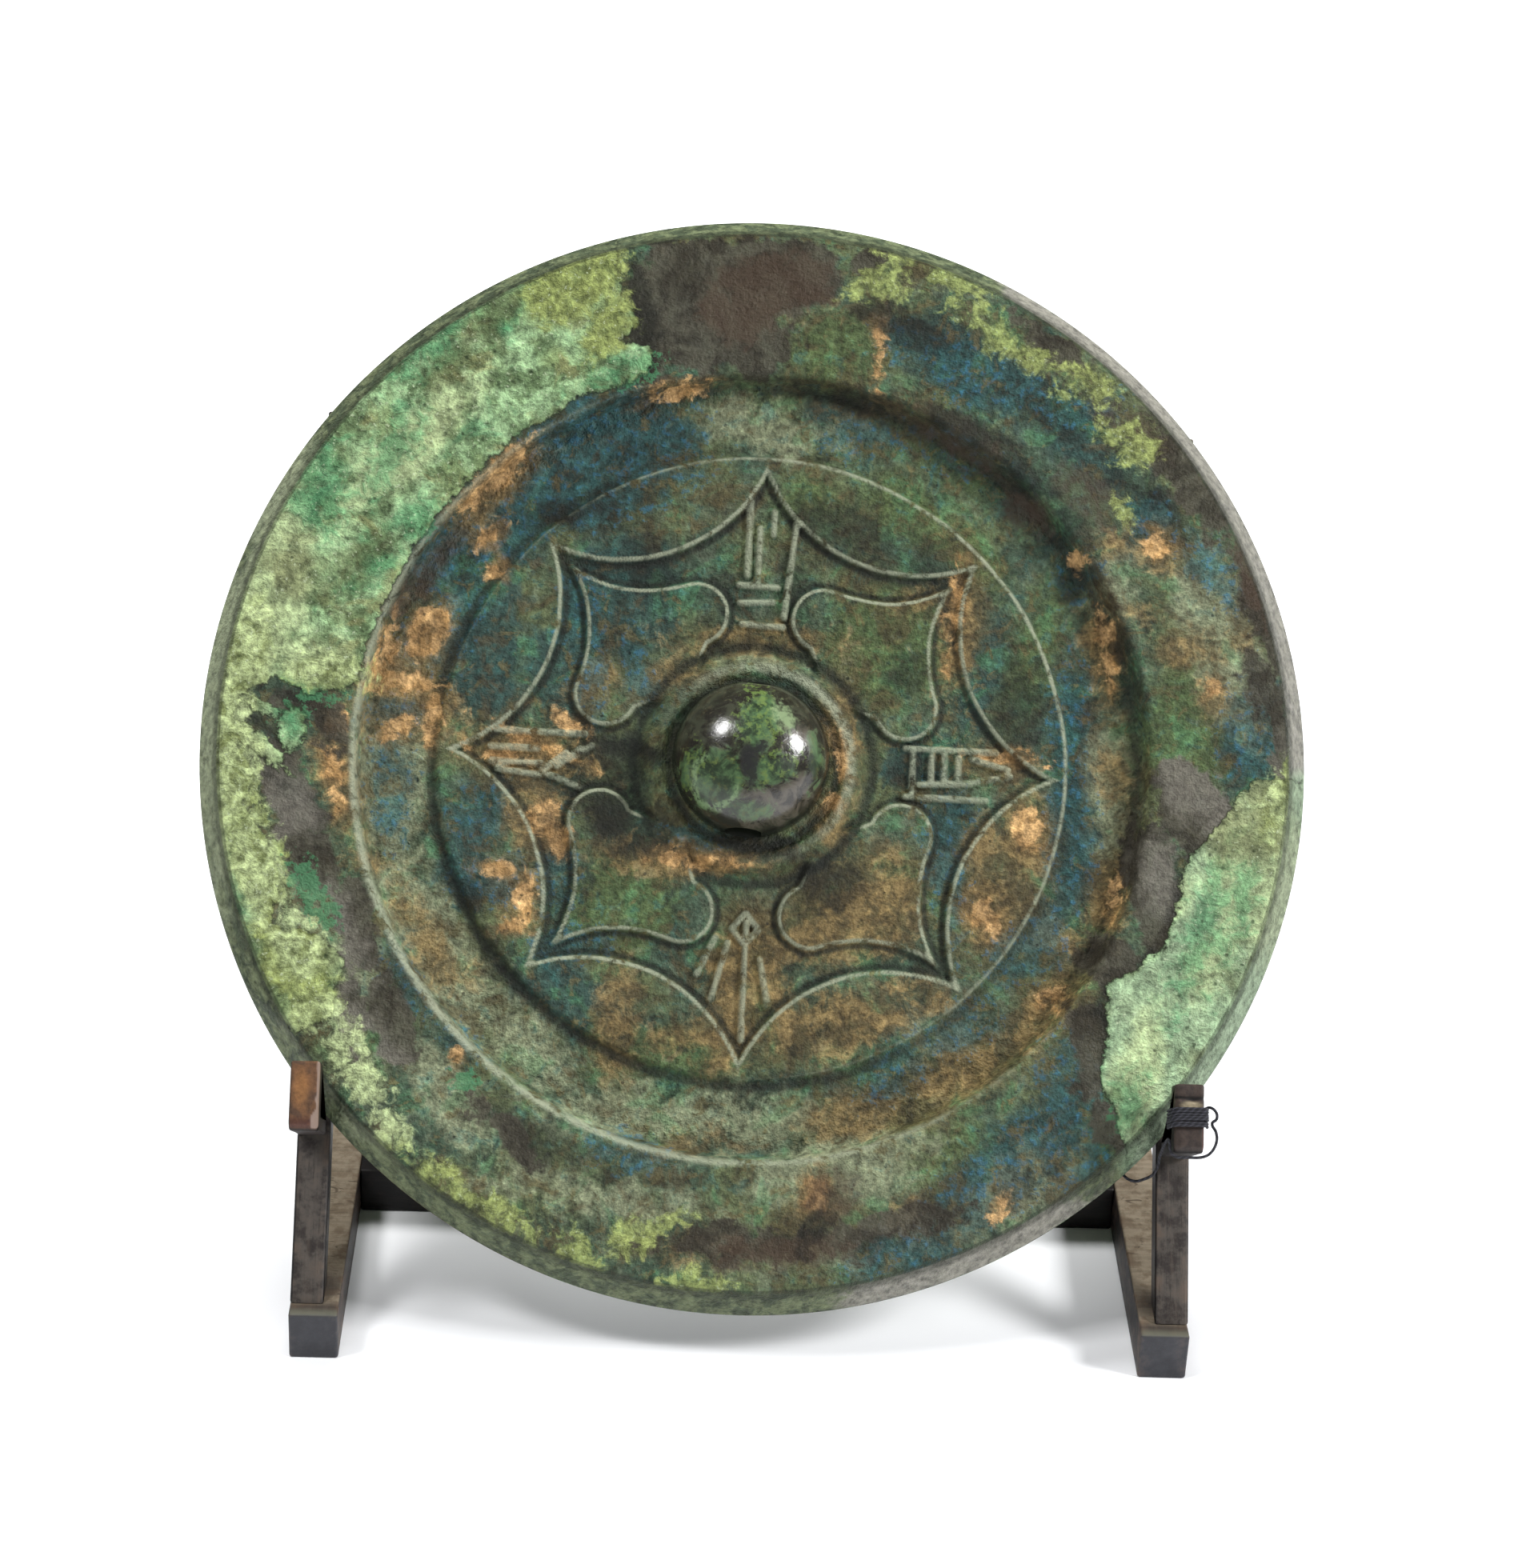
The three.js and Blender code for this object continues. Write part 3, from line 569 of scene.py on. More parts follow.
GROWTHS = {
    # yellow-green crust
    "lime": [
        (-33, 82, 10, 6, 35), (-27, 74, 6, 3, 60), (-72, 12, 6, 2.6, -5), (-88, 10, 12, 4, 80),
        (-88, -6, 12, 4, 100), (-84, -20, 10, 4, 110), (-76, -37, 8, 6, -60), (-72, -46, 6, 4, -60),
        (-67.5, -52, 3.6, 3, -50), (-64, -58, 4, 3, -40), (-59, -66, 4.4, 2.4, -60),
        (-50, -73.5, 6, 2.4, -30), (-41, -79, 5, 2, -35), (-28, -85, 5.4, 2.6, -35), (-7, -90, 5, 1.8, 10),
        (19, 83, 4.2, 2.6, 10), (30, 85.5, 7, 2.2, -20), (38, 76, 7, 3, -40), (47, 70, 4, 2, -40),
        (55, 65.5, 5, 2.6, -10), (63, 56, 5, 3.4, -30), (62, 44.5, 2, 1.2, -70), (-19, -83, 4, 2.4, 0),
        (-14, -80, 3.6, 1.6, 10), (-45, -77, 3, 1.6, -30), (90, -4, 6, 2, 70),
    ],
    # saturated malachite
    "leaf": [
        (-78.6, 3.4, 2.4, 2.6, 0), (-74.8, 8.7, 4, 2, 0), (-57, 70, 8, 4, 40), (-24, 66, 6, 3, 20),
        (-46, 77, 7, 4, 35), (-76, 44, 5, 8, 0), (-75.5, -25, 5, 2.4, -60), (-71.5, -30, 3, 1.6, -50),
        (-64, 50, 8, 3, 60), (-60, 38, 5, 3, 45), (76, -30, 12, 3, 70), (83, -24, 9, 2.4, 75),
        (64, -58, 5, 3, 70), (-66, 31, 5, 3, 60), (-48, -57, 2.2, 1.6, 0),
    ],
    # smooth bronze where the crust has come away
    "bare": [
        (-11, 78, 13, 12, 0), (2, 84, 11, 7, 0), (-19, 77, 12, 5, 85), (-1, 72, 6, 6, 0),
        (-79, -9, 9, 5, -65), (-75, -20, 8, 4, -55), (-67, -31, 10, 3, -75), (-67, -45, 9, 2.4, -80),
        (-73, 4, 7, 3, -60), (-79, 6, 4, 2, -30), (75, -8, 10, 6, -60), (69, -22, 12, 5, -75),
        (62, -36, 8, 4.4, -50), (57.5, -49, 10, 3.4, 90), (60, -63, 6, 2.4, -60), (49, 73, 9, 2.6, -40),
        (74, 50, 13, 3.4, -55), (86, 28, 14, 2.2, -70), (89.5, 4, 10, 1.6, 90), (18, 87, 4, 3, 40),
        (86, 14, 6, 2.6, -80), (0, -83, 16, 3, 0), (24, -80, 12, 2.6, 15), (-60, -47, 8, 4, -70),
        (-42, -64, 8, 2.4, -40),
    ],
    # brown film on the bare bronze
    "brown": [
        (2, 83, 9, 5, 0), (-4, 78, 7, 7, 0), (-77, 17, 5, 2.4, 15), (-68, 56, 5, 4, 50),
        (-57, 30, 9, 2.2, 55), (62, 60, 8, 3, -40), (57, 46, 7, 4, -40), (33, 57, 9, 3, -30),
        (84, 33, 8, 2, -65), (46, 44, 5, 3, -40), (15, -75, 4, 5, -30), (8, -84, 12, 2.6, 5),
        (40, -86, 8, 1.6, 25),
    ],
    # blue carbonate
    "azurite": [
        (-41, 39, 8, 4, 45), (-36, 46, 9, 4, 50), (-30, 57, 11, 4, 20), (-20, 55, 9, 4, 15),
        (-22, 45, 12, 3, 25), (-55, 33, 4, 6, -30), (-52, 21, 3, 8, -20), (-30, 19, 3, 9, 10),
        (-20.5, 14, 2, 5, 20), (-61, 17, 2.4, 4, 10), (-61, 6, 5, 2.4, 0), (22, 73, 3.4, 3, -40),
        (33, 71, 4, 3, 0), (43, 66, 7, 3, -30), (35, 64, 4, 2, 0), (56, 62, 5, 2.4, 20),
        (67, 43.5, 3.6, 2.4, -20), (78, 34, 7, 3, -50), (84, 8, 7, 3.4, 70), (85, 2, 3, 2, 60),
        (33, -11, 4, 3, 60), (33, -19, 2, 9, 10), (26, -53, 7, 3.6, 40), (36, -46, 5, 3, 40),
        (47, -33, 7, 4, 50), (55, -12, 4, 9, 0), (55, -56, 5, 9, 10), (49, -66, 6, 5, 30),
        (40, -74, 10, 5, 35), (31, -82, 6, 3, 40), (22, -84, 4, 2.4, 30), (57, -68, 4, 3, 30),
        (-47, -12, 4, 4, 0), (-45, -24, 5, 3, 0), (-40, -21, 2, 2, 0), (-62, -8, 3, 8, 0), (18, 57, 6, 3, 0),
        (33, 54, 5, 2.6, -20), (-20, -68, 5, 3, 0), (-30, -33, 5, 2, 0), (-8, -14, 4, 2, 0),
        (55, 33, 3, 3, 0), (-58, -42, 4, 2, -50), (-48, -52, 2, 3, 30), (54, 6, 2.6, 9, 0),
        (-33, -20, 2, 6, 0),
    ],
    # blue-green oxide
    "teal": [
        (-45, 38, 21, 9, 48), (-28, 52, 19, 8, 22), (-48, 18, 7, 15, 0), (-23, 26, 11, 11, 0),
        (-48, -22, 5, 6, 0), (-62, -10, 3, 11, 0), (35, 69, 15, 7, -32), (56, 57, 11, 7, -45),
        (66, 41, 8, 6, -60), (43, 47, 13, 4, -45), (55, 2, 5, 19, 0), (54, -22, 5, 12, -15),
        (48, -66, 18, 7, 38), (30, -80, 15, 5, 20), (-27, -45, 16, 6, -28), (0, -57, 14, 2.4, 0),
        (30, 0, 8, 5, 0), (-57, -36, 9, 5, -60), (84, 4, 7, 12, 0), (-10, 62, 6, 4, 0), (-34, 12, 5, 10, 20),
        (10, 60, 5, 4, 0), (38, 14, 4, 12, -10), (-38, -8, 8, 5, 0), (26, -46, 8, 4, 30),
    ],
    # olive oxide
    "olive": [
        (12, 71, 9, 7, 0), (-4, 60, 10, 5, 5), (25, 43, 9, 5, -35), (36, 36, 9, 4, -45), (22, 20, 11, 11, 0),
        (74, 6, 8, 13, 0), (33, 53, 9, 4, -35), (8, 45, 6, 4, 0), (-70, 20, 6, 5, 0), (48, 20, 4, 12, -20),
        (-22, -26, 10, 9, 0), (-14, -52, 14, 5, -14), (0, 18, 12, 3, 0), (60, -60, 5, 6, 0),
        (30, -68, 9, 4, 22),
    ],
    # brown earth film
    "earth": [
        (20, -24, 13, 9, 10), (0, -38, 7, 13, 0), (42, -24, 8, 13, -20), (14, -46, 15, 5, 15),
        (30, -58, 20, 5, 27), (52, -42, 11, 5, 48), (61, -20, 4, 15, -12), (-40, 0, 12, 4, 0),
        (14, -78, 9, 6, 0), (14, 8, 3, 9, 0), (-60, 12, 7, 8, 0), (-12, -18, 12, 3, 0), (36, 24, 3, 9, -10),
        (60, 20, 3, 9, 10), (80, 12, 4, 6, 0),
    ],
    # grey dust
    "dusty": [
        (-61, -3, 6, 20, 0), (-53, -34, 6, 20, 33), (-8, -62, 24, 5, 0), (80, 22, 7, 17, 20),
        (-24, -76, 18, 3, -8), (-3, 59, 9, 4, 0), (60, -4, 4, 11, 0), (-50, -60, 16, 4, -48),
        (-70, -34, 6, 14, 25), (30, -50, 5, 4, 0), (44, -74, 12, 5, 35), (6, 56, 8, 3, 0),
        (-38, -50, 10, 5, -38), (60, 30, 4, 8, 20), (16, -70, 14, 6, 8), (0, 16.5, 9, 2, 0),
        (10, -84, 8, 2, 0),
    ],
    # black dirt, and painted shadow: arcs along the rim's slope at the upper right, lines along the lower
    # right crust's inner border and beside the ridges at the left, and a patch under the boss
    "dark": [
        (-22, 77, 3, 11, 8), (-84.2, 2.4, 4.0, 1.0, -34), (-85.0, -4.2, 6.4, 0.7, -34),
        (-80, 7.6, 5, 0.8, -22), (-27, 71.5, 2, 1, 20), (0, -15.5, 7, 2.4, 0), (-20, -16.5, 4, 1.8, 0),
        (-24, -11, 4, 3, 0), (-24, 1, 6, 1, -10), (14, -22, 6, 5, 0), (55, 32, 2.4, 3, 0),
        (45, 51, 10, 2, -42), (33, 58.5, 9, 1.8, -30), (17, 62.5, 9, 1.6, -12), (55, 40, 8, 1.8, -55),
        (64, 20, 8, 1.2, -72), (-34, 41, 8, 2, 15), (-48, -26, 2, 3, 0), (19, 79, 3, 1.4, 0),
        (26, 74, 6, 3, -20), (63, 49, 5, 2, -30), (70, -34, 2, 6, -50), (73, -22, 1.4, 6, -12),
        (60, -44, 1.2, 5, 0), (12, -80, 2, 6, -30),
    ],
    # earth stains round the ochre
    "stain": [
        (-3, -46, 3.4, 8, -15), (-1, -36, 6, 5, 0), (4, -40, 3, 8, 12), (19, -26, 8, 4, 30),
        (14, -31, 10, 3.4, 5), (25, -21, 2.4, 5, 30), (40, -26, 4.4, 6, 20), (47, -12, 4.4, 6, 0),
        (38, -14, 3, 3, 0), (14, -44, 6, 2.6, 20), (30, -41, 4, 1.6, -20), (20, -47, 6, 1.8, 25),
        (18, -61, 8, 3.4, 15), (35, -53, 7, 4.4, 20), (52, -40.5, 4, 2.4, 40), (47, -46, 4, 2, 50),
        (61, -24, 2.4, 6, -15), (53, -30, 4, 2, 0), (62, -2, 2.4, 3.4, 0), (60, 21, 2.6, 7, 8),
        (59, 38, 3, 1, 30), (34, 22, 2.0, 8, -4), (28, 28, 2.6, 1.2, 20), (3, 78.6, 3, 1, 0),
        (41, -1, 6, 2.4, -4), (15, 1, 1.8, 6, 8), (14, -12, 3, 4, 0), (66, 26, 2, 1.4, 0), (79, 12, 3, 3, 40),
        (83, 22, 2, 1.6, 0), (12, -75, 3, 3.8, 0), (28, -79, 4, 3, 30), (44, -73, 3, 4, -20),
        (-12, -67, 4, 1.0, 10), (-56, -32, 6, 2.4, -60), (-52, -38, 5, 2, 0), (-22, -46, 2.6, 8, 0),
        (-9, -49, 6, 2.4, 0), (0, 20, 9, 1.6, 0), (-12, 16, 5, 1.4, 35), (-46, 45, 9, 3, 45),
        (-57, 18, 5.5, 8, -10), (-60, 6, 8, 5, 0), (-71, -4, 3, 12, 12), (-37, -11, 5, 6, 20),
        (-40, -24, 5, 5, 0), (-40, -1, 9, 3.4, -12), (-12, -18, 10, 2.4, 0), (69, 38, 4, 4, 0),
        (74, 20, 5, 3, 0), (-66, -21, 3, 1, 0), (20, 61, 3, 1, 0), (-8, -84, 6, 1.6, 0), (-72, 30, 3, 5, 0),
        (-28, 12, 4, 3, 40), (-74, 22, 4, 2, 0),
    ],
    # crust and metal washed pale, and along the left edge the slanted edge painted lighter as light
    "faded_and_lit": [
        (-84, 22, 20, 6, 78), (-88, 0, 14, 5, 92), (-84, -22, 12, 4, 110), (84, -16, 16, 5, 74),
        (66, -52, 10, 4, 80), (-76, 14, 9, 4, -10), (-60, 52, 16, 4, 48), (78, -34, 8, 4, 60),
        (-79, -11, 5, 6, 15), (-70, -34, 4, 9, 25), (89, -20, 7, 12, -10), (82, -12, 6, 7, 0),
        (-92, 4, 34, 5, 92), (-86, -2, 7, 3, -30), (-70, 12, 4, 2.4, 0), (76, -2, 7, 8, 0),
        (70, -20, 4, 6, 20), (-64, -56, 16, 7, 133), (-77, -32, 9, 5, 110), (-84, 44, 10, 5, 60),
    ],
    # painted shade: the boss's shadow to its left and below it, and darker patches in hollows and on the rim
    "shade": [
        (-26, -4, 9, 8, 0), (-20, -14, 9, 3.6, -10), (0, -17.4, 9, 2.6, 0), (-31, 3, 6, 3, 0),
        (-19, 32, 5, 6, 30), (-27, 42, 9, 4, 14), (6, 27, 3, 9, 0), (-6, 27, 2, 8, 0), (-36, 57, 8, 3, 38),
        (-20, 62, 12, 2.4, 16), (26, 14, 3, 4, 0), (-43, -36, 5, 3, -45), (28, -2, 4, 3, 0),
        (-62, 27, 3, 7, -20), (56, -3, 2, 8, 0), (14, 39, 11, 5, -20), (31, 31, 7, 4, -50), (45, 9, 4, 10, 0),
        (-36, -66, 10, 2.6, -30), (48, 62, 9, 3, -38), (70, 44, 7, 3, -60), (24, 78, 5, 2, 0),
    ],
}


def patina_depths(x, y):
    """For each point of the face, how deep in mm it lies inside each kind of growth. Borders stray by
    noise."""
    wx = x + rough_noise(x, y, 7, 41) * 1.6 + rough_noise(x, y, 1.6, 47, 2) * 0.5
    wy = y + rough_noise(x, y, 7, 53) * 1.6 + rough_noise(x, y, 1.6, 59, 2) * 0.5
    depths = {name: depth_in_spots(wx, wy, spots) for name, spots in GROWTHS.items()}
    depths["ochre"] = depth_in_spots(x + (wx - x) * 0.6, y + (wy - y) * 0.6, OCHRE_SPOTS)
    depths["polish_and_highlight"] = depth_in_spots(x, y, POLISH_AND_HIGHLIGHT_EDGE)
    depths["pale"] = depth_in_outline(wx, wy, LOWER_CRUST)
    depths["crust"] = np.maximum.reduce([depth_in_outline(wx, wy, UPPER_CRUST), depths["pale"],
                                         depth_in_spots(wx, wy, RIDGES)])
    return depths


# Rings on the decorated face as (first radius, last radius, count), close together where the pattern is.
FACE_RINGS = [(0.8, 13, 3), (13.4, 20.6, 21), (21, 54.9, 86), (55.5, 68.8, 21), (69.7, 90.2, 25)]
LAST_FACE_RING = 90.7
# The slanted edge and the flat back as rings of (radius, height).
EDGE_RINGS = [(91.8, 5.15), (93.0, 3.45), (94.1, 1.9), (94.75, 0.95), (DISC_RADIUS, 0.6), (DISC_RADIUS, 0.25)]
BACK_RINGS = [(94.7, 0.0), (88, 0.0), (70, 0.0), (45, 0.0), (20, 0.0)]
# How many of the edge's rings the growths reach, and the depth in mm that keeps the crust off the back.
GROWN_EDGE_RINGS = 4
BURIED = -5


def ring_radii(sizes):
    """Radii of the mesh's rings on the decorated face."""
    inner = np.concatenate([np.linspace(*span) for span in FACE_RINGS])
    return np.append(inner, [LAST_FACE_RING, sizes.front_radius])


def disc_surface(sizes):
    """The disc as closed rings: x and y from radius and angle, z from the cast surface. The rings' centre
    slides from the pattern's to the disc's between the slope and the edge. The slanted edge and the flat back
    follow."""
    angle = np.arange(sizes.around) * 2 * math.pi / sizes.around
    radii = ring_radii(sizes)
    slide = 1 - fade((radii - 69) / 19)
    x = radii[:, None] * np.cos(angle) + (slide * PATTERN_CENTRE[0])[:, None]
    y = radii[:, None] * np.sin(angle) + (slide * PATTERN_CENTRE[1])[:, None]
    z, edge, corner = cast_surface(x, y, sizes)
    rounded = np.exp(-(sizes.front_radius - radii) / 0.5) * 0.28
    side_r, side_z = (np.array(part)[:, None] * np.ones(sizes.around)
                      for part in zip(*EDGE_RINGS, *BACK_RINGS))
    blank = np.zeros_like(side_z)
    return (np.concatenate([x, side_r * np.cos(angle)]), np.concatenate([y, side_r * np.sin(angle)]),
            np.concatenate([z - rounded[:, None], side_z]), np.concatenate([edge, blank]),
            np.concatenate([corner, blank]))


def mirror_disc(sizes, material):
    """The cast disc without its boss: one closed mesh, with the growths stored on its points. Crust lifts the
    face by lumps of noise, less so towards the outer edge."""
    x, y, z, edge, corner = disc_surface(sizes)
    rings, columns = x.shape
    depths = patina_depths(x, y)
    row = np.arange(rings)[:, None] * np.ones(columns)
    face_rings = rings - len(EDGE_RINGS) - len(BACK_RINGS)
    front = row < face_rings + GROWN_EDGE_RINGS
    grown = fade(depths["crust"] / 1.2 + 0.3)
    lumps = 0.34 + 0.22 * rough_noise(x, y, 2.2, 71, 3) + 0.12 * rough_noise(x, y, 9, 77, 2)
    lime_lumps = fade(depths["lime"] / 1.5) * (0.16 + 0.16 * rough_noise(x, y, 1.8, 83, 3))
    uneven = 0.05 * rough_noise(x, y, 12, 91, 4) + 0.025 * rough_noise(x, y, 2, 97, 2)
    rise = (grown * lumps + lime_lumps + uneven) * front
    thinning = 1 - 0.5 * fade((np.hypot(x, y) / DISC_RADIUS - 0.97) / 0.03)
    z = z + rise * (z > 0.2) * thinning
    points = leaning(x, y + MIRROR_CENTRE, z + MIRROR_GAP).reshape(-1, 3)
    poles = leaning(np.array([PATTERN_CENTRE[0], 0.0]), np.array([PATTERN_CENTRE[1], 0.0]) + MIRROR_CENTRE,
                    np.array([sizes.boss_base, 0.0]) + MIRROR_GAP)
    faces = capped(rings, columns, flipped=True)
    piece = make_piece("mirror_disc", np.concatenate([points, poles]), faces, material, 60)
    depths["crust"] = np.where(front, depths["crust"], BURIED)
    bevel = (row >= face_rings) & (row < rings - len(BACK_RINGS))
    crease = np.abs(row - face_rings + 0.5) < 1
    kept = {**depths, "worn_and_lit": edge, "corner": corner, "bevel": bevel, "crease": crease, "reverse": ~front}
    for name, values in kept.items():
        store(piece.data, name, np.append(values.ravel(), [0, 1 if name == "reverse" else 0]))
    return piece


# How deep the boss is let into the disc, in mm.
BOSS_SKIRT = 0.7


def boss_dome(sizes):
    """The boss: rings of a dome, radius times the cosine and height times the sine of one angle, with a short
    skirt let into the disc. Its crown is a little flattened by wear."""
    columns = 176
    angle = np.arange(columns) * 2 * math.pi / columns
    rise = np.linspace(0, math.pi / 2, 60)[:-1]
    skirt, crown = sizes.boss_base - BOSS_SKIRT, sizes.boss_base + sizes.boss_height
    r = np.concatenate([[sizes.boss_radius - 0.02], sizes.boss_radius * np.cos(rise)])
    h = np.concatenate([[skirt], sizes.boss_base + sizes.boss_height * np.sin(rise) ** 0.96])
    x = r[:, None] * np.cos(angle) + BOSS_CENTRE[0]
    y = r[:, None] * np.sin(angle) + BOSS_CENTRE[1]
    z = h[:, None] + 0.05 * rough_noise(x, y, 6, 131, 3) * fade((h[:, None] - 4) / 3)
    points = leaning(x, y + MIRROR_CENTRE, z + MIRROR_GAP).reshape(-1, 3)
    middle = leaning(*(np.array([v, v]) for v in BOSS_CENTRE + [0, MIRROR_CENTRE]),
                     np.array([skirt, crown]) + MIRROR_GAP)
    return np.concatenate([points, middle]), capped(len(r), columns)


TUNNEL = {"width": 6.2, "height": 3.9, "floor": 3.62, "turn": math.radians(-4.9), "reach": 20.0}
TUNNEL_CENTRE = PATTERN_CENTRE + [-0.4, 0.0]


def tunnel_cutter():
    """The cord's tunnel as a long arched bar: two flat-sided legs and half an ellipse, carried through the
    boss."""
    half, spring = TUNNEL["width"] / 2, TUNNEL["height"] * 0.45
    arch = np.linspace(0, math.pi, 22)
    across = np.concatenate([[-half * 0.96, half * 0.96], half * np.cos(arch)])
    height = np.concatenate([[0, 0], spring + (TUNNEL["height"] - spring) * np.sin(arch)]) + TUNNEL["floor"]
    run = np.array([-TUNNEL["reach"], TUNNEL["reach"]])[:, None]
    x, y = turned(across + 0 * run, run + 0 * across, TUNNEL["turn"])
    points = leaning(x + TUNNEL_CENTRE[0], y + TUNNEL_CENTRE[1] + MIRROR_CENTRE,
                     height + 0 * run + MIRROR_GAP)
    n = len(across)
    faces = grid_faces(2, n)[:, ::-1].tolist() + [list(range(n)), list(range(2 * n - 1, n - 1, -1))]
    return points.reshape(-1, 3), faces


# Spots on the boss in mm from its middle: a leafy green blot on its left, bright malachite, one chalky grain,
# rubbed bronze and soot.
BOSS_SPOTS = {
    "green": [(-5.8, -4.6, 4.0, 5.0, -14), (3.6, -3.2, 4.4, 2.4, 24), (-10, -3, 2, 3.6, 0),
              (0.6, 4.6, 3.0, 5.4, -12), (-1, -9.6, 4, 1.4, 0), (10.5, -1, 1.2, 4, 0)],
    "bright": [(-0.2, 6.8, 1.7, 4.2, -6), (1.6, 3.0, 2.2, 2.0, 0), (3.2, -2.2, 3, 1.2, 24),
               (-9.4, -3, 1.4, 2.2, 0)],
    "chalk": [(5.2, 6.2, 1.3, 2.2, 28)],
    "rubbed": [(3.5, -8.2, 6.5, 2.2, 22), (8.6, -6.0, 3, 2.2, 50), (8.5, 1.0, 2.4, 3.0, 0)],
    "dark": [(-0.4, -2.2, 1.5, 3.2, 8), (1.2, 0.6, 1.4, 1.0, 40)],
}


def mirror_boss(sizes, material):
    """The pierced boss: the dome less the tunnel, with its spots stored on its points."""
    piece = make_piece("mirror_boss", *boss_dome(sizes), material, 50)
    cutter = make_piece("tunnel_cutter", *tunnel_cutter(), material)
    cut = piece.modifiers.new("Tunnel", "BOOLEAN")
    cut.operation = "DIFFERENCE"
    cut.solver = "EXACT"
    cut.object = cutter
    pierced = bpy.data.meshes.new_from_object(piece.evaluated_get(bpy.context.evaluated_depsgraph_get()))
    piece.modifiers.clear()
    piece.data = pierced
    bpy.data.objects.remove(cutter)
    smooth_where_gentle(pierced, 45)
    relative = points_of(pierced) - FOOT
    x = relative @ ACROSS - BOSS_CENTRE[0]
    y = relative @ ALONG - MIRROR_CENTRE - BOSS_CENTRE[1]
    for name, spots in BOSS_SPOTS.items():
        store(pierced, name, depth_in_spots(x, y, spots))
    # The dome's foot, where painted shade goes round its base.
    store(pierced, "foot", fade((np.hypot(x, y) - 12) / 1.8))
    stray = rough_noise(x, y, 2.4, 71) * 0.9
    rim = depth_in_spots(x + stray, y - stray, BOSS_SPOTS["green"][:1])
    store(pierced, "outline", bell(rim - 0.2, 0.45) * fade((-6.5 - x - y) / 3))
    return piece


# ------------------------------------------------------------------ bronze finishes


def oxide_film(tree, n, colours):
    """Matt oxide on the bronze: olive and blue-green tones under dust, brown earth, blue carbonate with
    darker specks, painted shade in the corners and in patches such as the boss's shadow, ochre earth in blots
    and black pits. n holds the patterns that it shares."""
    blue = coat(tree, colours.blue, srgb("#2d504e"), n.blot, 0.42, 0.60)
    ochre = coat(tree, colours.tan, srgb("#8c6c42"), n.blot, 0.44, 0.58)
    film = coats(
        tree, srgb("#384939"),
        (srgb("#4f573a"), n.cloud, 0.40, 0.60),
        (srgb("#59624f"), n.blot, 0.48, 0.64, 0.6),
        (colours.teal, growth(tree, "teal", n.blot, 14, 3.0, 3.0), 0.0, 1.0, 0.85),
        (colours.olive, growth(tree, "olive", n.blot, 14, 3.0, 3.0), 0.0, 1.0, 0.8),
        (srgb("#54472a"), growth(tree, "earth", n.other, 12, 3.0, 3.0), 0.0, 1.0, 0.65),
        (colours.grey, growth(tree, "dusty", n.blot, 16, 3.4, 3.0), 0.0, 1.0, 0.9),
        (srgb("#355c3c"), n.tint, 0.53, 0.64, 0.5),
        (srgb("#5a4c31"), n.tint, 0.46, 0.36, 0.5),
        (srgb("#1f4440"), n.other, 0.54, 0.66, 0.55),
        (srgb("#776c45"), n.other, 0.45, 0.34, 0.55),
        # Painted shade: the boss's shadow and darker hollows.
        (colours.pit_and_shade, growth(tree, "shade", n.blot, 12, 3.0, 3.0), 0.0, 1.0, 0.7),
        (srgb("#5f5235"), growth(tree, "stain", n.blot, 14, 2.6, 2.6), 0.0, 1.0, 0.75),
        (srgb("#7c6740"), growth(tree, "stain", n.other, 18, 2.2, 0.4), 0.0, 1.0, 0.5),
        (blue, growth(tree, "azurite", n.other, 13, 1.8, 0.7), 0.0, 1.0, 0.7),
        (srgb("#1c4358"), growth(tree, "azurite", n.fleck, 16, 0.8, -1.1), 0.2, 1.0, 0.55),
        # Painted shade in the corners of the relief.
        (colours.pit_and_shade, n.corner, 0.1, 1.0, 0.8),
        (srgb("#80663f"), growth(tree, "ochre", n.blot, 10, 2.0, 1.6), 0.0, 1.0, 0.6),
        (ochre, growth(tree, "ochre", n.other, 7, 0.8, 0.8), 0.0, 1.0, 0.85),
        (colours.pit_and_shade, n.blot, 0.42, 0.32, 0.6),
    )
    film = mottle(
        tree, film,
        (n.tint, ((0.34, 0.70), (0.5, 1.0), (0.66, 1.35))),
        (n.other, ((0.34, 0.62), (0.5, 1.0), (0.64, 1.35))),
        (n.fleck, ((0.30, 0.45), (0.42, 0.80), (0.5, 1.0), (0.58, 1.22), (0.70, 1.7))),
        (n.grit, ((0.30, 0.80), (0.5, 1.0), (0.70, 1.22))),
    )
    pitted = add(tree, "ShaderNodeMapRange", {"Value": n.other, "From Min": 0.52, "From Max": 0.60})
    return coat(tree, film, srgb("#10140f"), n.pore, 0.20, 0.10, 0.7, pitted)


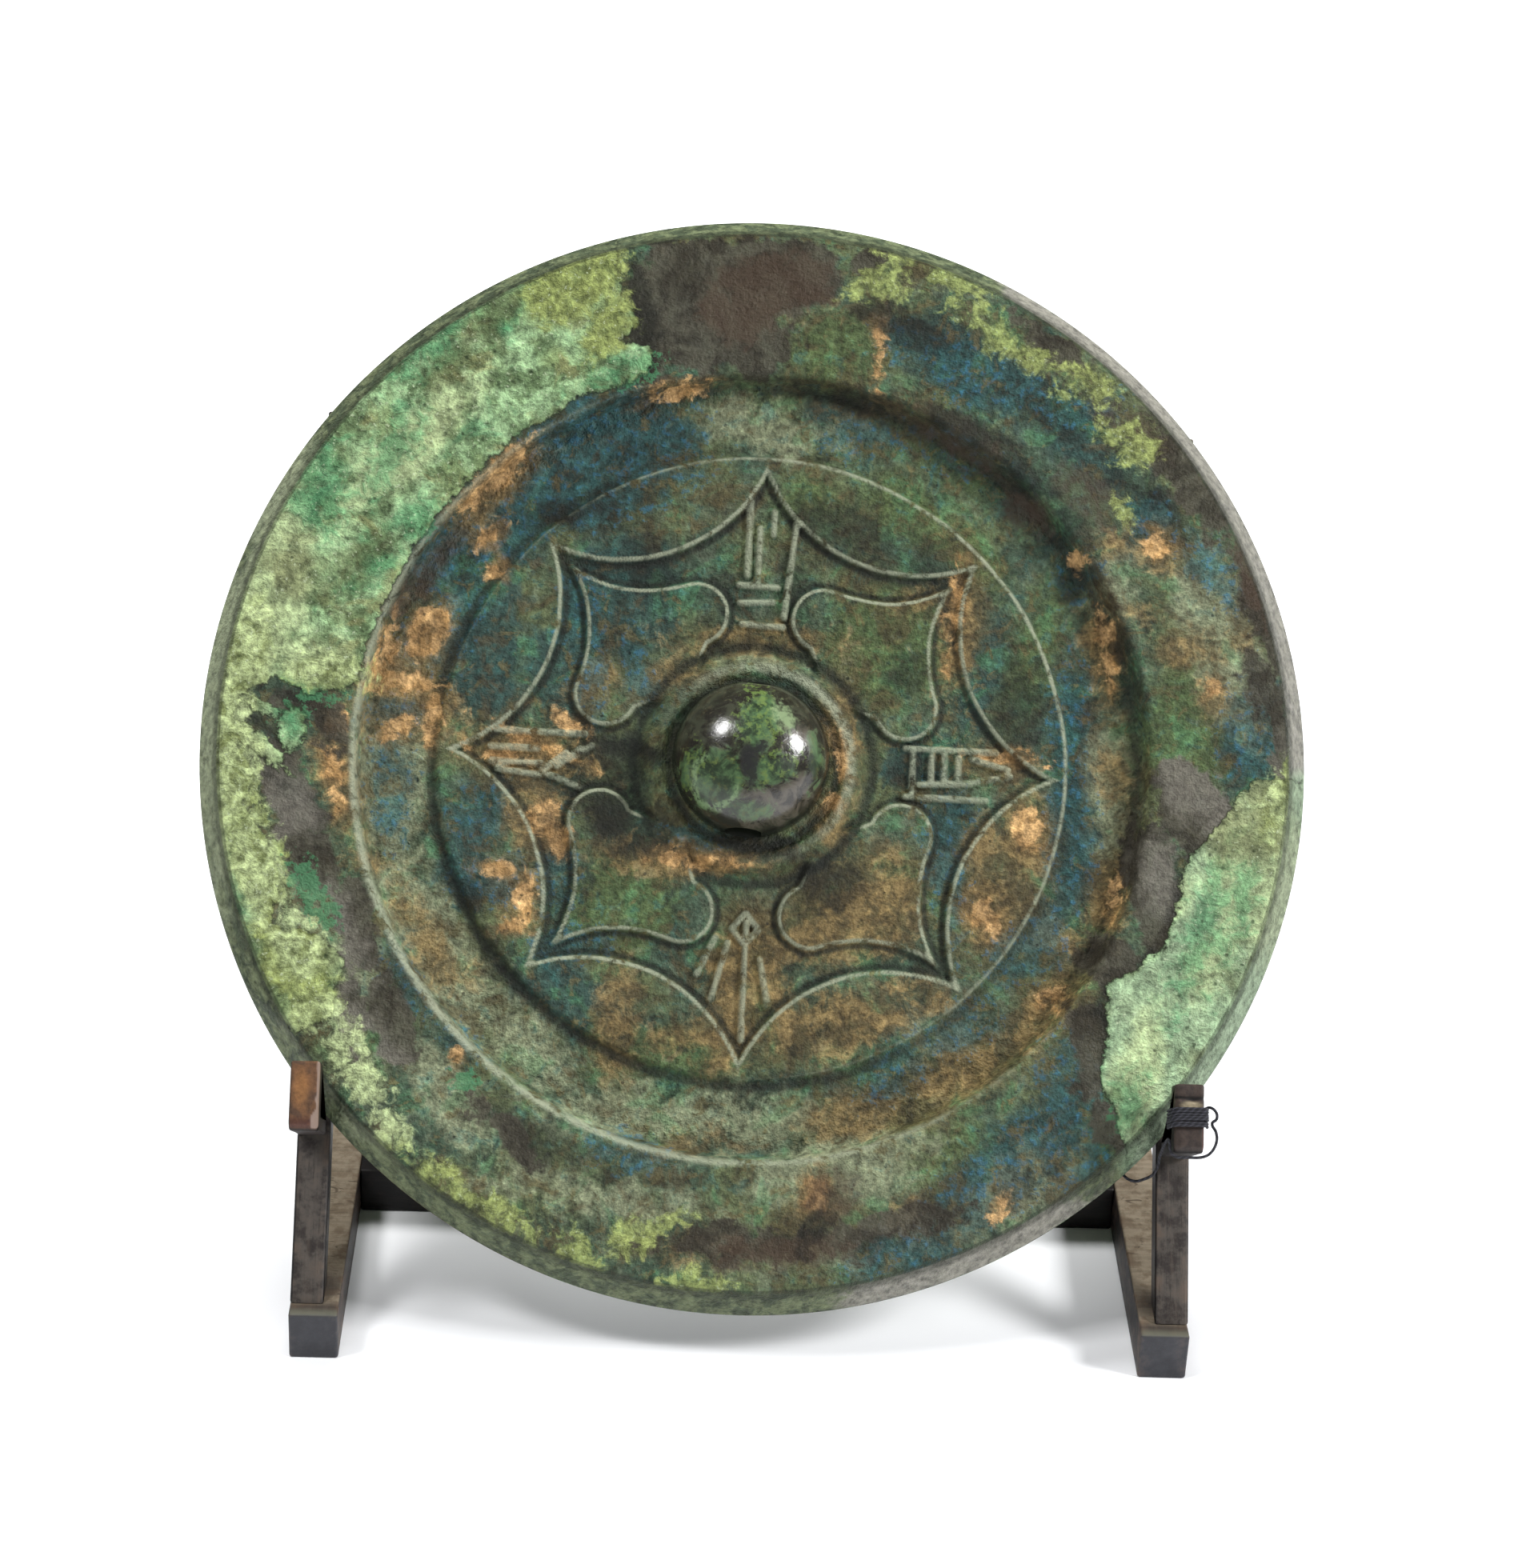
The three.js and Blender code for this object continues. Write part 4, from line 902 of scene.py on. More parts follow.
def bare_metal(tree, n, colours, film):
    """Smooth dark bronze over the film where the crust has come away, with a brown film of its own, paler
    edge lines for wear and painted highlight, and black marks: dirt, and painted shadow along the rim's slope
    and the crust's borders."""
    metal = coats(tree, colours.bare, (srgb("#48453a"), n.tint, 0.42, 0.6),
                  (srgb("#716d64"), n.wan, 0.0, 1.0, 0.7))
    metal = mottle(tree, metal, (n.fleck, ((0.3, 0.7), (0.5, 1.0), (0.7, 1.2))))
    rubbed = add(tree, "ShaderNodeMapRange", {"Value": n.other, "From Min": 0.36, "From Max": 0.50})
    return coats(
        tree, film,
        (metal, n.bare, 0.0, 1.0, 0.93),
        (srgb("#45362a"), growth(tree, "brown", n.other, 9, 1.8, 1.6), 0.0, 1.0, 0.6),
        # Pale edge lines: wear, and painted highlight where edges face the lights.
        (colours.worn_and_lit, n.worn_and_lit, 0.25, 0.95, 0.85, rubbed),
        # Black dirt, and painted shadow along the rim's slope, the crust's borders and under the boss.
        (srgb("#12140f"), growth(tree, "dark", n.blot, 8, 1.6, 1.2), 0.0, 1.0, 0.7),
    )


def malachite(tree, n, colours, below):
    """Thick green crust over the rest, with chalky grains, small holes and a dark border painted as shade at
    its foot, then loose yellow-green crust and specks of leaf green beside it."""
    green = coats(
        tree, srgb("#5f7550"),
        (colours.mint, n.blot, 0.40, 0.60),
        (srgb("#7f8f5e"), n.cloud, 0.46, 0.36, 0.55),
        (srgb("#4f8560"), n.tint, 0.54, 0.66, 0.5),
        (srgb("#8a8456"), n.tint, 0.44, 0.34, 0.45),
        (srgb("#98b08d"), n.pale, -0.6, 1.2, 0.78),
        (srgb("#a3b183"), n.wan, 0.0, 1.0, 0.8),
        (colours.leaf, growth(tree, "leaf", n.other, 16, 3.0, 2.2), 0.0, 1.0, 0.7),
        (srgb("#5c5a3a"), n.cloud, 0.54, 0.66, 0.6),
        (colours.lime, growth(tree, "lime", n.blot, 8, 2.6, 2.0), 0.0, 1.0, 0.8),
    )
    green = mottle(
        tree, green,
        (n.blot, ((0.30, 0.78), (0.45, 0.98), (0.55, 1.1), (0.70, 1.25))),
        (n.other, ((0.30, 0.48), (0.42, 0.82), (0.5, 1.0), (0.6, 1.2), (0.72, 1.5))),
        (n.fleck, ((0.32, 0.56), (0.44, 0.87), (0.5, 1.0), (0.58, 1.18), (0.68, 1.5))),
    )
    hollow = add(tree, "ShaderNodeMapRange", {"Value": n.blot, "From Min": 0.58, "From Max": 0.44})
    green = coats(tree, green, (colours.chalk, n.grit, 0.60, 0.74, 0.45),
                  (srgb("#25331f"), n.pore, 0.26, 0.08, 0.7, hollow))
    lime = coat(tree, colours.lime, srgb("#a3b183"), n.wan, most=0.8)
    lime = mottle(tree, lime, (n.other, ((0.32, 0.5), (0.44, 0.8), (0.5, 1.0), (0.66, 1.5))),
                  (n.fleck, ((0.32, 0.4), (0.44, 0.8), (0.5, 1.0), (0.66, 1.6))))
    lime = coat(tree, lime, colours.chalk, n.grit, 0.60, 0.74, 0.5)
    bald = add(tree, "ShaderNodeMapRange", {"Value": n.crust, "From Min": 1.0, "From Max": 0.0})
    return coats(
        tree, below,
        # A dark ring painted as shade round the crust's foot.
        (srgb("#1b1f16"), growth(tree, "crust", n.fleck, 2.6, 0.5, 0.3), 0.0, 0.5, 0.7),
        (green, n.crust),
        (lime, growth(tree, "lime", n.other, 12, 1.4, 0.8), 0.0, 1.0, 0.8),
        (colours.leaf, growth(tree, "leaf", n.fleck, 9, 0.6, 0.8), 0.0, 1.0, 0.75, bald),
    )


def edge_and_back(tree, n, face):
    """The slanted edge, greyer where it is polished and painted lighter as a highlight towards the right
    lamp, paler where the crust is washed pale, which along the left is painted light, green under the crust,
    the dark crease at its top, and the back's plain oxide."""
    edge = coats(
        tree, srgb("#434d3a"),
        (srgb("#646d50"), n.other, 0.42, 0.58),
        # Rubbed grey, and painted highlight towards the right lamp.
        (srgb("#85827a"), growth(tree, "polish_and_highlight", n.blot, 8, 1.6, 3.0), 0.0, 1.0, 0.85),
        (srgb("#81987a"), n.pale, -3.0, 0.0, 0.7),
        # Paler where washed pale; along the left this is painted light.
        (srgb("#8b9377"), n.wan, 0.0, 1.0, 0.7),
    )
    edge = mottle(tree, edge, (n.fleck, ((0.32, 0.5), (0.5, 1.0), (0.68, 1.4))))
    back = coats(
        tree, srgb("#3f4a3c"),
        (srgb("#5e6a50"), n.blot, 0.4, 0.6),
        (srgb("#5c4d3b"), n.cloud, 0.5, 0.62, 0.6),
        (srgb("#6f8c68"), n.blot, 0.56, 0.62, 0.8),
    )
    back = mottle(tree, back, (n.fleck, ((0.32, 0.5), (0.5, 1.0), (0.68, 1.5))))
    return coats(tree, face, (edge, n.bevel, 0.3, 0.8), (srgb("#23271c"), n.crease, 0.2, 0.9, 0.55),
                 (back, n.reverse, 0.5, 1.0))


# Noises in the bronze: name, offset and grain in mm, detail, roughness and distortion.
BRONZE_NOISES = (
    ("cloud", None, 15, 3.0, 0.55, 0.0),
    ("tint", (-47.0, 8.0, 29.0), 8, 5.0, 0.6, 0.8),
    ("blot", None, 5, 6.0, 0.64, 0.3),
    ("other", (31.0, 17.0, 5.0), 3, 5.0, 0.66, 0.5),
    ("fleck", None, 1.5, 4.0, 0.66, 0.0),
    ("grit", None, 0.7, 2.0, 0.6, 0.0),
)
PORE_SPACING = 1.9


def patinated_bronze(colours):
    """Cast high-tin bronze after centuries in the ground: matt oxide in olive and blue-green, thick malachite
    crust with chalky grains, azurite and ochre earth in blots, and smooth dark bronze where the crust has
    come away."""
    material, tree, shader = blank_material("patinated_bronze")
    place = millimetres(tree)
    n = SimpleNamespace()
    for name, offset, grain, detail, rough, twist in BRONZE_NOISES:
        at = add(tree, "ShaderNodeVectorMath", {0: place, 1: offset}, operation="ADD") if offset else place
        setattr(n, name, add(tree, "ShaderNodeTexNoise", {"Vector": at, "Scale": 1 / grain, "Detail": detail,
                                                          "Roughness": rough, "Distortion": twist}))
    for name in ("corner", "worn_and_lit", "pale", "bevel", "crease", "reverse"):
        setattr(n, name, add(tree, "ShaderNodeAttribute", attribute_name=name, out="Fac"))
    n.pore = add(tree, "ShaderNodeTexVoronoi", {"Vector": place, "Scale": 1 / PORE_SPACING,
                                                "Randomness": 1.0}, out="Distance")
    n.wan = growth(tree, "faded_and_lit", n.blot, 9, 3.0, 3.0)
    n.bare = growth(tree, "bare", n.blot, 9, 0.8)
    n.crust = growth(tree, "crust", n.fleck, 2.6, 0.35)
    face = malachite(tree, n, colours, bare_metal(tree, n, colours, oxide_film(tree, n, colours)))
    tree.links.new(edge_and_back(tree, n, face), shader.inputs["Base Color"])

    dull = add(tree, "ShaderNodeMapRange", {"Value": n.crust, "To Min": 0.58, "To Max": 0.88})
    rough = add(tree, "ShaderNodeMix", {0: n.bare, 2: dull, 3: 0.42})
    tree.links.new(rough, shader.inputs["Roughness"])
    metallic = add(tree, "ShaderNodeMath", {0: n.bare, 1: 0.3}, operation="MULTIPLY")
    tree.links.new(metallic, shader.inputs["Metallic"])
    shader.inputs["Specular IOR Level"].default_value = 0.25
    lump = add(tree, "ShaderNodeMath", {0: n.crust, 1: n.other}, operation="MULTIPLY")
    fine = add(tree, "ShaderNodeMath", {0: n.fleck, 1: 0.6, 2: lump}, operation="MULTIPLY_ADD")
    fine = add(tree, "ShaderNodeMath", {0: n.grit, 1: 0.25, 2: fine}, operation="MULTIPLY_ADD")
    bump = add(tree, "ShaderNodeBump", {"Height": fine, "Strength": 1.0, "Distance": 0.0016})
    tree.links.new(bump, shader.inputs["Normal"])
    return material


def handled_boss(colours):
    """The boss: the same bronze, rubbed by handling until dark brown and glossy, with green malachite in
    blots and a ring of painted shade at its foot."""
    material, tree, shader = blank_material("rubbed_bronze_boss")
    place = millimetres(tree)
    kind = "ShaderNodeTexNoise"
    blot = add(tree, kind, {"Vector": place, "Scale": 1 / 3.2, "Detail": 5.0, "Roughness": 0.62,
                            "Distortion": 0.6})
    fleck = add(tree, kind, {"Vector": place, "Scale": 1 / 1.2, "Detail": 4.0, "Roughness": 0.65})
    outline, foot = (add(tree, "ShaderNodeAttribute", attribute_name=name, out="Fac")
                     for name in ("outline", "foot"))
    leafy = coats(tree, srgb("#22341c"), (srgb("#496640"), blot, 0.42, 0.6),
                  (srgb("#3b3e1c"), fleck, 0.5, 0.62, 0.6))
    leafy = mottle(tree, leafy, (fleck, ((0.3, 0.45), (0.45, 0.85), (0.55, 1.15), (0.68, 1.6))))
    green = growth(tree, "green", blot, 5, 0.9, 1.4)
    dark = growth(tree, "dark", fleck, 4, 0.6)
    chipped = add(tree, "ShaderNodeMapRange", {"Value": fleck, "From Min": 0.38, "From Max": 0.52})
    base = coats(
        tree, srgb("#211f19"),
        (srgb("#36382c"), blot, 0.42, 0.62),
        (srgb("#4a4636"), fleck, 0.52, 0.68, 0.4),
        (srgb("#5c544b"), growth(tree, "rubbed", blot, 14, 1.8, 0.2), 0.0, 1.0, 0.6),
        (leafy, green, 0.0, 1.0, 0.9),
        (srgb("#5c7239"), growth(tree, "bright", fleck, 14, 1.4, -0.6), 0.0, 1.0, 0.75),
        (srgb("#82966f"), growth(tree, "chalk", fleck, 5, 1.2), 0.0, 1.0, 0.75),
        (srgb("#7f9a6c"), outline, 0.1, 0.9, 0.6, chipped),
        (srgb("#070907"), dark, 0.0, 1.0, 0.95),
        # Painted shade round the dome's foot.
        (colours.pit_and_shade, foot, 0.0, 1.0, 0.9),
    )
    tree.links.new(base, shader.inputs["Base Color"])
    rough = add(tree, "ShaderNodeMapRange", {"Value": green, "To Min": 0.19, "To Max": 0.42})
    rough = add(tree, "ShaderNodeMix", {0: dark, 2: rough, 3: 0.8})
    tree.links.new(rough, shader.inputs["Roughness"])
    shader.inputs["Coat Weight"].default_value = 0.25
    shader.inputs["Coat Roughness"].default_value = 0.14
    height = add(tree, "ShaderNodeMath", {0: green, 1: 0.5, 2: fleck}, operation="MULTIPLY_ADD")
    bump = add(tree, "ShaderNodeBump", {"Height": height, "Strength": 0.2, "Distance": 0.0003})
    tree.links.new(bump, shader.inputs["Normal"])
    return material


# ------------------------------------------------------------------ timber


# How the grain of each timber lies: the turn that lays it along an axis, and how much it is stretched there.
GRAIN = {"x": ((0, 0, 0), (0.08, 1, 1)), "y": ((0, 0, 0), (1, 0.08, 1)), "lean": ((LEAN, 0, 0), (1, 1, 0.08))}
# Marks on the timber: greyed front ends, rubbed tops, near black painted shadow, a pale ledge line, and a
# painted dark line on the uprights' shaded sides.
TIMBER_MARKS = ("end", "rubbed", "sooty", "ledge", "burnt")


def stained_timber(name, colours, along, lighter=0.0):
    """Thin hardwood with a dark stain, planed: fine grain along the piece, mottled where hands have rubbed
    it, bare tan wood with fine saw marks where the stain has gone, near black where shadow is painted, and a
    painted dark line along the uprights' shaded sides."""
    material, tree, shader = blank_material(name)
    place = millimetres(tree)
    turn, stretch = GRAIN[along]
    aligned = add(tree, "ShaderNodeMapping", {"Vector": place, "Rotation": turn})
    grain = add(tree, "ShaderNodeVectorMath", {0: aligned, 1: stretch}, operation="MULTIPLY")
    sawn = add(tree, "ShaderNodeVectorMath", {0: place, 1: (0.10, 1.0, 1.0)}, operation="MULTIPLY")
    slanted = add(tree, "ShaderNodeMapping", {"Vector": place, "Rotation": (0, 0, 0.6),
                                              "Scale": (0.35, 1.0, 1.0)})
    kind = "ShaderNodeTexNoise"
    streak = add(tree, kind, {"Vector": grain, "Scale": 1 / 1.4, "Detail": 5.0, "Roughness": 0.6,
                              "Distortion": 0.8})
    pores = add(tree, kind, {"Vector": grain, "Scale": 1 / 0.35, "Detail": 3.0, "Roughness": 0.7})
    blot = add(tree, kind, {"Vector": place, "Scale": 1 / 3, "Detail": 5.0, "Roughness": 0.65})
    across = add(tree, kind, {"Vector": sawn, "Scale": 1 / 0.7, "Detail": 3.0, "Roughness": 0.6})
    slash = add(tree, kind, {"Vector": slanted, "Scale": 1 / 2.2, "Detail": 2.0, "Roughness": 0.5,
                             "Distortion": 1.5})
    mark = {part: add(tree, "ShaderNodeAttribute", attribute_name=part, out="Fac")
            for part in (*TIMBER_MARKS, "arris")}
    raw = coat(tree, colours.raw, srgb("#685c4c"), blot, 0.42, 0.62)
    raw = mottle(tree, raw, (across, ((0.35, 0.86), (0.65, 1.12))))
    raw = coat(tree, raw, srgb("#3a3026"), slash, 0.63, 0.70, 0.7)
    greyed = mottle(tree, colours.grey, (blot, ((0.35, 0.8), (0.65, 1.2))))
    chafed = add(tree, "ShaderNodeMapRange", {"Value": blot, "From Min": 0.46, "From Max": 0.64})
    base = coats(
        tree, colours.stain,
        (srgb("#463e38"), streak, 0.46, 0.70, 0.7),
        (srgb("#514236"), blot, 0.52, 0.66, 0.45),
        (srgb("#5a554f"), blot, 0.36, 0.56, lighter),
        (colours.deep, pores, 0.44, 0.28, 0.6),
        (greyed, mark["end"], 0.0, 1.0, 0.9),
        # Painted shadow: near black where the mirror and the rails shade the timber.
        (srgb("#0d0c0d"), mark["sooty"], 0.0, 1.0, 0.85),
        (raw, mark["rubbed"]),
        (srgb("#6a5648"), mark["arris"], 0.0, 1.0, 0.4, chafed),
        (srgb("#66675a"), mark["ledge"], 0.0, 1.0, 0.6),
        # Painted shade: a near black line along the uprights' shaded sides.
        (srgb("#080808"), mark["burnt"], 0.0, 1.0, 0.9),
    )
    tree.links.new(base, shader.inputs["Base Color"])
    rough = add(tree, "ShaderNodeMapRange", {"Value": mark["rubbed"], "To Min": 0.5, "To Max": 0.74})
    tree.links.new(rough, shader.inputs["Roughness"])
    shader.inputs["Specular IOR Level"].default_value = 0.3
    height = add(tree, "ShaderNodeMath", {0: pores, 1: 0.5, 2: blot}, operation="MULTIPLY_ADD")
    bump = add(tree, "ShaderNodeBump", {"Height": height, "Strength": 0.35, "Distance": 0.0003})
    tree.links.new(bump, shader.inputs["Normal"])
    return material


def lip_timber(name, colours, tone):
    """End grain of a lip: brown where the stain is thin, darker where it soaked in, paler where it chipped,
    and near black as painted shade on its sides and underside."""
    material, tree, shader = blank_material(name)
    place = millimetres(tree)
    kind = "ShaderNodeTexNoise"
    fibre = add(tree, kind, {"Vector": place, "Scale": 1 / 0.8, "Detail": 4.0, "Roughness": 0.65})
    cloud = add(tree, kind, {"Vector": place, "Scale": 1 / 3, "Detail": 3.0, "Roughness": 0.5,
                             "Distortion": 0.6})
    mark = {part: add(tree, "ShaderNodeAttribute", attribute_name=part, out="Fac")
            for part in ("warm", "red", "patch", "chip", "side", "crack")}
    base = coats(
        tree, tone,
        (colours.stain, cloud, 0.50, 0.38, 0.55),
        (srgb("#8d6238"), mark["warm"], 0.0, 1.0, 0.65),
        (srgb("#4a2b24"), mark["red"], 0.0, 1.0, 0.75),
        (srgb("#8f846c"), mark["patch"], 0.0, 1.0, 0.9),
    )
    base = mottle(tree, base, (fibre, ((0.32, 0.7), (0.5, 1.0), (0.68, 1.25))))
    base = coats(
        tree, base,
        (srgb("#88766b"), mark["chip"], 0.0, 1.0, 0.8),
        # Painted shade: near black on the sides and underside.
        (srgb("#171413"), mark["side"], 0.0, 1.0, 0.92),
        (srgb("#070606"), mark["crack"], 0.0, 1.0, 0.95),
    )
    tree.links.new(base, shader.inputs["Base Color"])
    shader.inputs["Roughness"].default_value = 0.62
    shader.inputs["Specular IOR Level"].default_value = 0.3
    bump = add(tree, "ShaderNodeBump", {"Height": fibre, "Strength": 0.3, "Distance": 0.0003})
    tree.links.new(bump, shader.inputs["Normal"])
    return material


def softened(corners, radius, steps=3):
    """A closed outline with every corner rounded: a quarter of a circle of that radius fitted between its
    sides, drawn as a quadratic curve through the corner."""
    corners = np.array(corners, float)
    before, after = np.roll(corners, 1, 0), np.roll(corners, -1, 0)
    out = []
    for a, b, c in zip(before, corners, after):
        to_a, to_c = (a - b) / np.linalg.norm(a - b), (c - b) / np.linalg.norm(c - b)
        cut = min(radius, 0.45 * np.linalg.norm(a - b), 0.45 * np.linalg.norm(c - b))
        for t in np.linspace(0, 1, steps + 1):
            out.append((1 - t) ** 2 * (b + to_a * cut) + 2 * t * (1 - t) * b + t**2 * (b + to_c * cut))
    return np.array(out)


def filled(outline, gap):
    """The outline with points added along its long sides, no further apart than gap."""
    out = []
    for a, b in zip(outline, np.roll(outline, -1, 0)):
        count = max(1, int(np.ceil(np.linalg.norm(b - a) / gap)))
        out.extend(a + (b - a) * k / count for k in range(count))
    return np.array(out)


def shrunk(outline, by):
    """The outline moved inwards by a distance along the mean of its sides' normals; it runs anticlockwise."""
    side = np.roll(outline, -1, 0) - outline
    normal = np.stack([-side[:, 1], side[:, 0]], -1) / np.maximum(np.linalg.norm(side, axis=1), 1e-9)[:, None]
    mean = normal + np.roll(normal, 1, 0)
    return outline + by * mean / np.maximum(np.linalg.norm(mean, axis=1), 1e-9)[:, None]


def sawn_piece(name, outline, x0, x1, cradle, material, spacing=2.0):
    """A piece sawn from a board: a side outline (y, z), softened at its corners, carried from x0 to x1. Its
    two ends shrink along a quarter circle, and its faces stray a little by noise."""
    soft = cradle.softening
    side = filled(softened(outline, soft), spacing)
    turn = np.linspace(0, math.pi / 2, 4)
    near = [(x0 + soft * (1 - math.sin(t)), soft * (1 - math.cos(t))) for t in turn[::-1]]
    middle = [(x, 0.0) for x in np.linspace(x0 + soft, x1 - soft, max(4, int((x1 - x0) / spacing)))[1:-1]]
    far = [(x1 - soft * (1 - math.sin(t)), soft * (1 - math.cos(t))) for t in turn]
    rings = []
    for x, inset in near + middle + far:
        ring = shrunk(side, inset)
        stray = lattice_noise(ring[:, 0] + x * 0.7, ring[:, 1] - x * 0.4, 7, 211) * cradle.waviness
        rings.append(np.column_stack([np.full(len(ring), x), shrunk(ring, stray[:, None])]))
    n = len(side)
    last = (len(rings) - 1) * n
    faces = grid_faces(len(rings), n).tolist() + [list(range(n))[::-1], list(range(last, last + n))]
    return make_piece(name, np.concatenate(rings), faces, material, 50)


def upright_point(v, w):
    """(y, z) of a point v up an upright and w out from its front face."""
    return (FOOT + v * ALONG + w * OUT)[1:]


def mark_timber(piece, arris, **marks):
    """Stores where a timber piece is an arris, and, where given, its greyed end, its rubbed parts, and where
    painted shadow and the painted dark side line go."""
    store(piece.data, "arris", arris)
    for name in TIMBER_MARKS:
        store(piece.data, name, marks.get(name, np.zeros(len(piece.data.vertices))))


def near_sides(points, x0, x1, reach=0.9):
    """1 at the two long arrises of a sawn piece and 0 in the middle of its thickness."""
    return np.exp(-(np.minimum(points[:, 0] - x0, x1 - points[:, 0]) / reach))


def bar_outline(low, high):
    """The side outline (y, z) of a square bar on the floor, from its box."""
    return [(low[1], 0), (high[1], 0), (high[1], high[2]), (low[1], high[2])]


def side_word(side):
    """The name of a side: 1 is the right and -1 the left."""
    return "right" if side > 0 else "left"


def side_span(side, low, high):
    """The x span of a right-hand piece, or its mirror image on the left."""
    return (low, high) if side > 0 else (-high, -low)


def make_rail(side, cradle, material):
    """A base rail: a square bar. Its front end is greyed, its top is rubbed bare beside the upright but stays
    dark in a patch at the upright's foot, and its inner side is painted black as shade, most on the right
    rail."""
    x0, x1 = side_span(side, RAIL_LOW[0], RAIL_HIGH[0])
    outline = bar_outline(RAIL_LOW, RAIL_HIGH)
    piece = sawn_piece(f"{side_word(side)}_rail_timber", outline, x0, x1, cradle, material)
    p = points_of(piece.data)
    from_front = p[:, 1] - RAIL_LOW[1]
    end = fade((0.5 - from_front) / 0.4)
    inner = np.abs(p[:, 0]) - RAIL_LOW[0]
    # A patch beside the upright's foot where the top stays dark.
    by_upright_foot = np.exp(-np.hypot((from_front - 9) / 5, (np.abs(p[:, 0]) - UPRIGHT_LOW[0] + 0.6) / 2.4) ** 2)
    level = fade((p[:, 2] - RAIL_HIGH[2] + 0.35) / 0.3)
    shelf = fade((UPRIGHT_LOW[1] + 1.2 - p[:, 1]) / 1.2)
    # The inner side is painted black as shade, nearly fully on the right rail and less on the left.
    mark_timber(piece, near_sides(p, x0, x1), end=end, rubbed=level * (1 - 0.9 * by_upright_foot) * (1 - 0.75 * shelf),
                sooty=(1 - level) * fade((0.5 - inner) / 0.4) * (1 - end) * (0.95 if side > 0 else 0.35),
                ledge=bell(from_front - 0.5, 0.6) * level)
    return piece


def make_upright(side, cradle, material):
    """An upright: a thin board that leans back, cut level at its foot and square at its top. Its inner arris
    is painted near black as shade, and so is the left one's outer arris."""
    x0, x1 = side_span(side, UPRIGHT_LOW[0], UPRIGHT_HIGH[0])
    foot_y, foot_z = upright_point(0, 0)
    outline = [(foot_y, foot_z), (foot_y + UPRIGHT_DEPTH / math.cos(LEAN), foot_z),
               upright_point(UPRIGHT_LENGTH, -UPRIGHT_DEPTH), upright_point(UPRIGHT_LENGTH, 0)]
    piece = sawn_piece(f"{side_word(side)}_upright_timber", outline, x0, x1, cradle, material, 1.0)
    p = points_of(piece.data)
    inner = np.abs(p[:, 0]) - UPRIGHT_LOW[0]
    outer = UPRIGHT_HIGH[0] - np.abs(p[:, 0])
    burnt = np.maximum(fade((0.35 - inner) / 0.3), fade((0.55 - outer) / 0.3) * (side < 0))
    mark_timber(piece, near_sides(p, x0, x1), burnt=burnt * 0.9)
    return piece


def make_brace(side, cradle, material):
    """A rear leg: a thin board from the rail's end to the upright's back, cut to both."""
    x0, x1 = side_span(side, UPRIGHT_LOW[0], UPRIGHT_HIGH[0])
    rear = RAIL_HIGH[1] - BRACE_INSET
    outline = [(rear - BRACE_DEPTH, RAIL_HIGH[2]), (rear, RAIL_HIGH[2]),
               upright_point(BRACE_TOP, -UPRIGHT_DEPTH),
               upright_point(BRACE_TOP - BRACE_DEPTH / math.sin(LEAN), -UPRIGHT_DEPTH)]
    piece = sawn_piece(f"{side_word(side)}_brace_timber", outline, x0, x1, cradle, material)
    p = points_of(piece.data)
    # The whole leg is painted half dark as shade.
    mark_timber(piece, near_sides(p, x0, x1), sooty=np.full(len(p), 0.5))
    return piece


def make_crossbar(cradle, material):
    """The crossbar between the rails: a square bar, painted near black as shade under the mirror."""
    outline = bar_outline(BAR_LOW, BAR_HIGH)
    piece = sawn_piece("crossbar_timber", outline, BAR_LOW[0], BAR_HIGH[0], cradle, material)
    count = len(piece.data.vertices)
    mark_timber(piece, np.zeros(count), sooty=np.full(count, 0.9))
    return piece


LIP = {"height": 28.3, "reach": 16.2, "arm": 2.9, "tip_height": 11.45, "tip_depth": 5.0, "chamfer": 1.1}


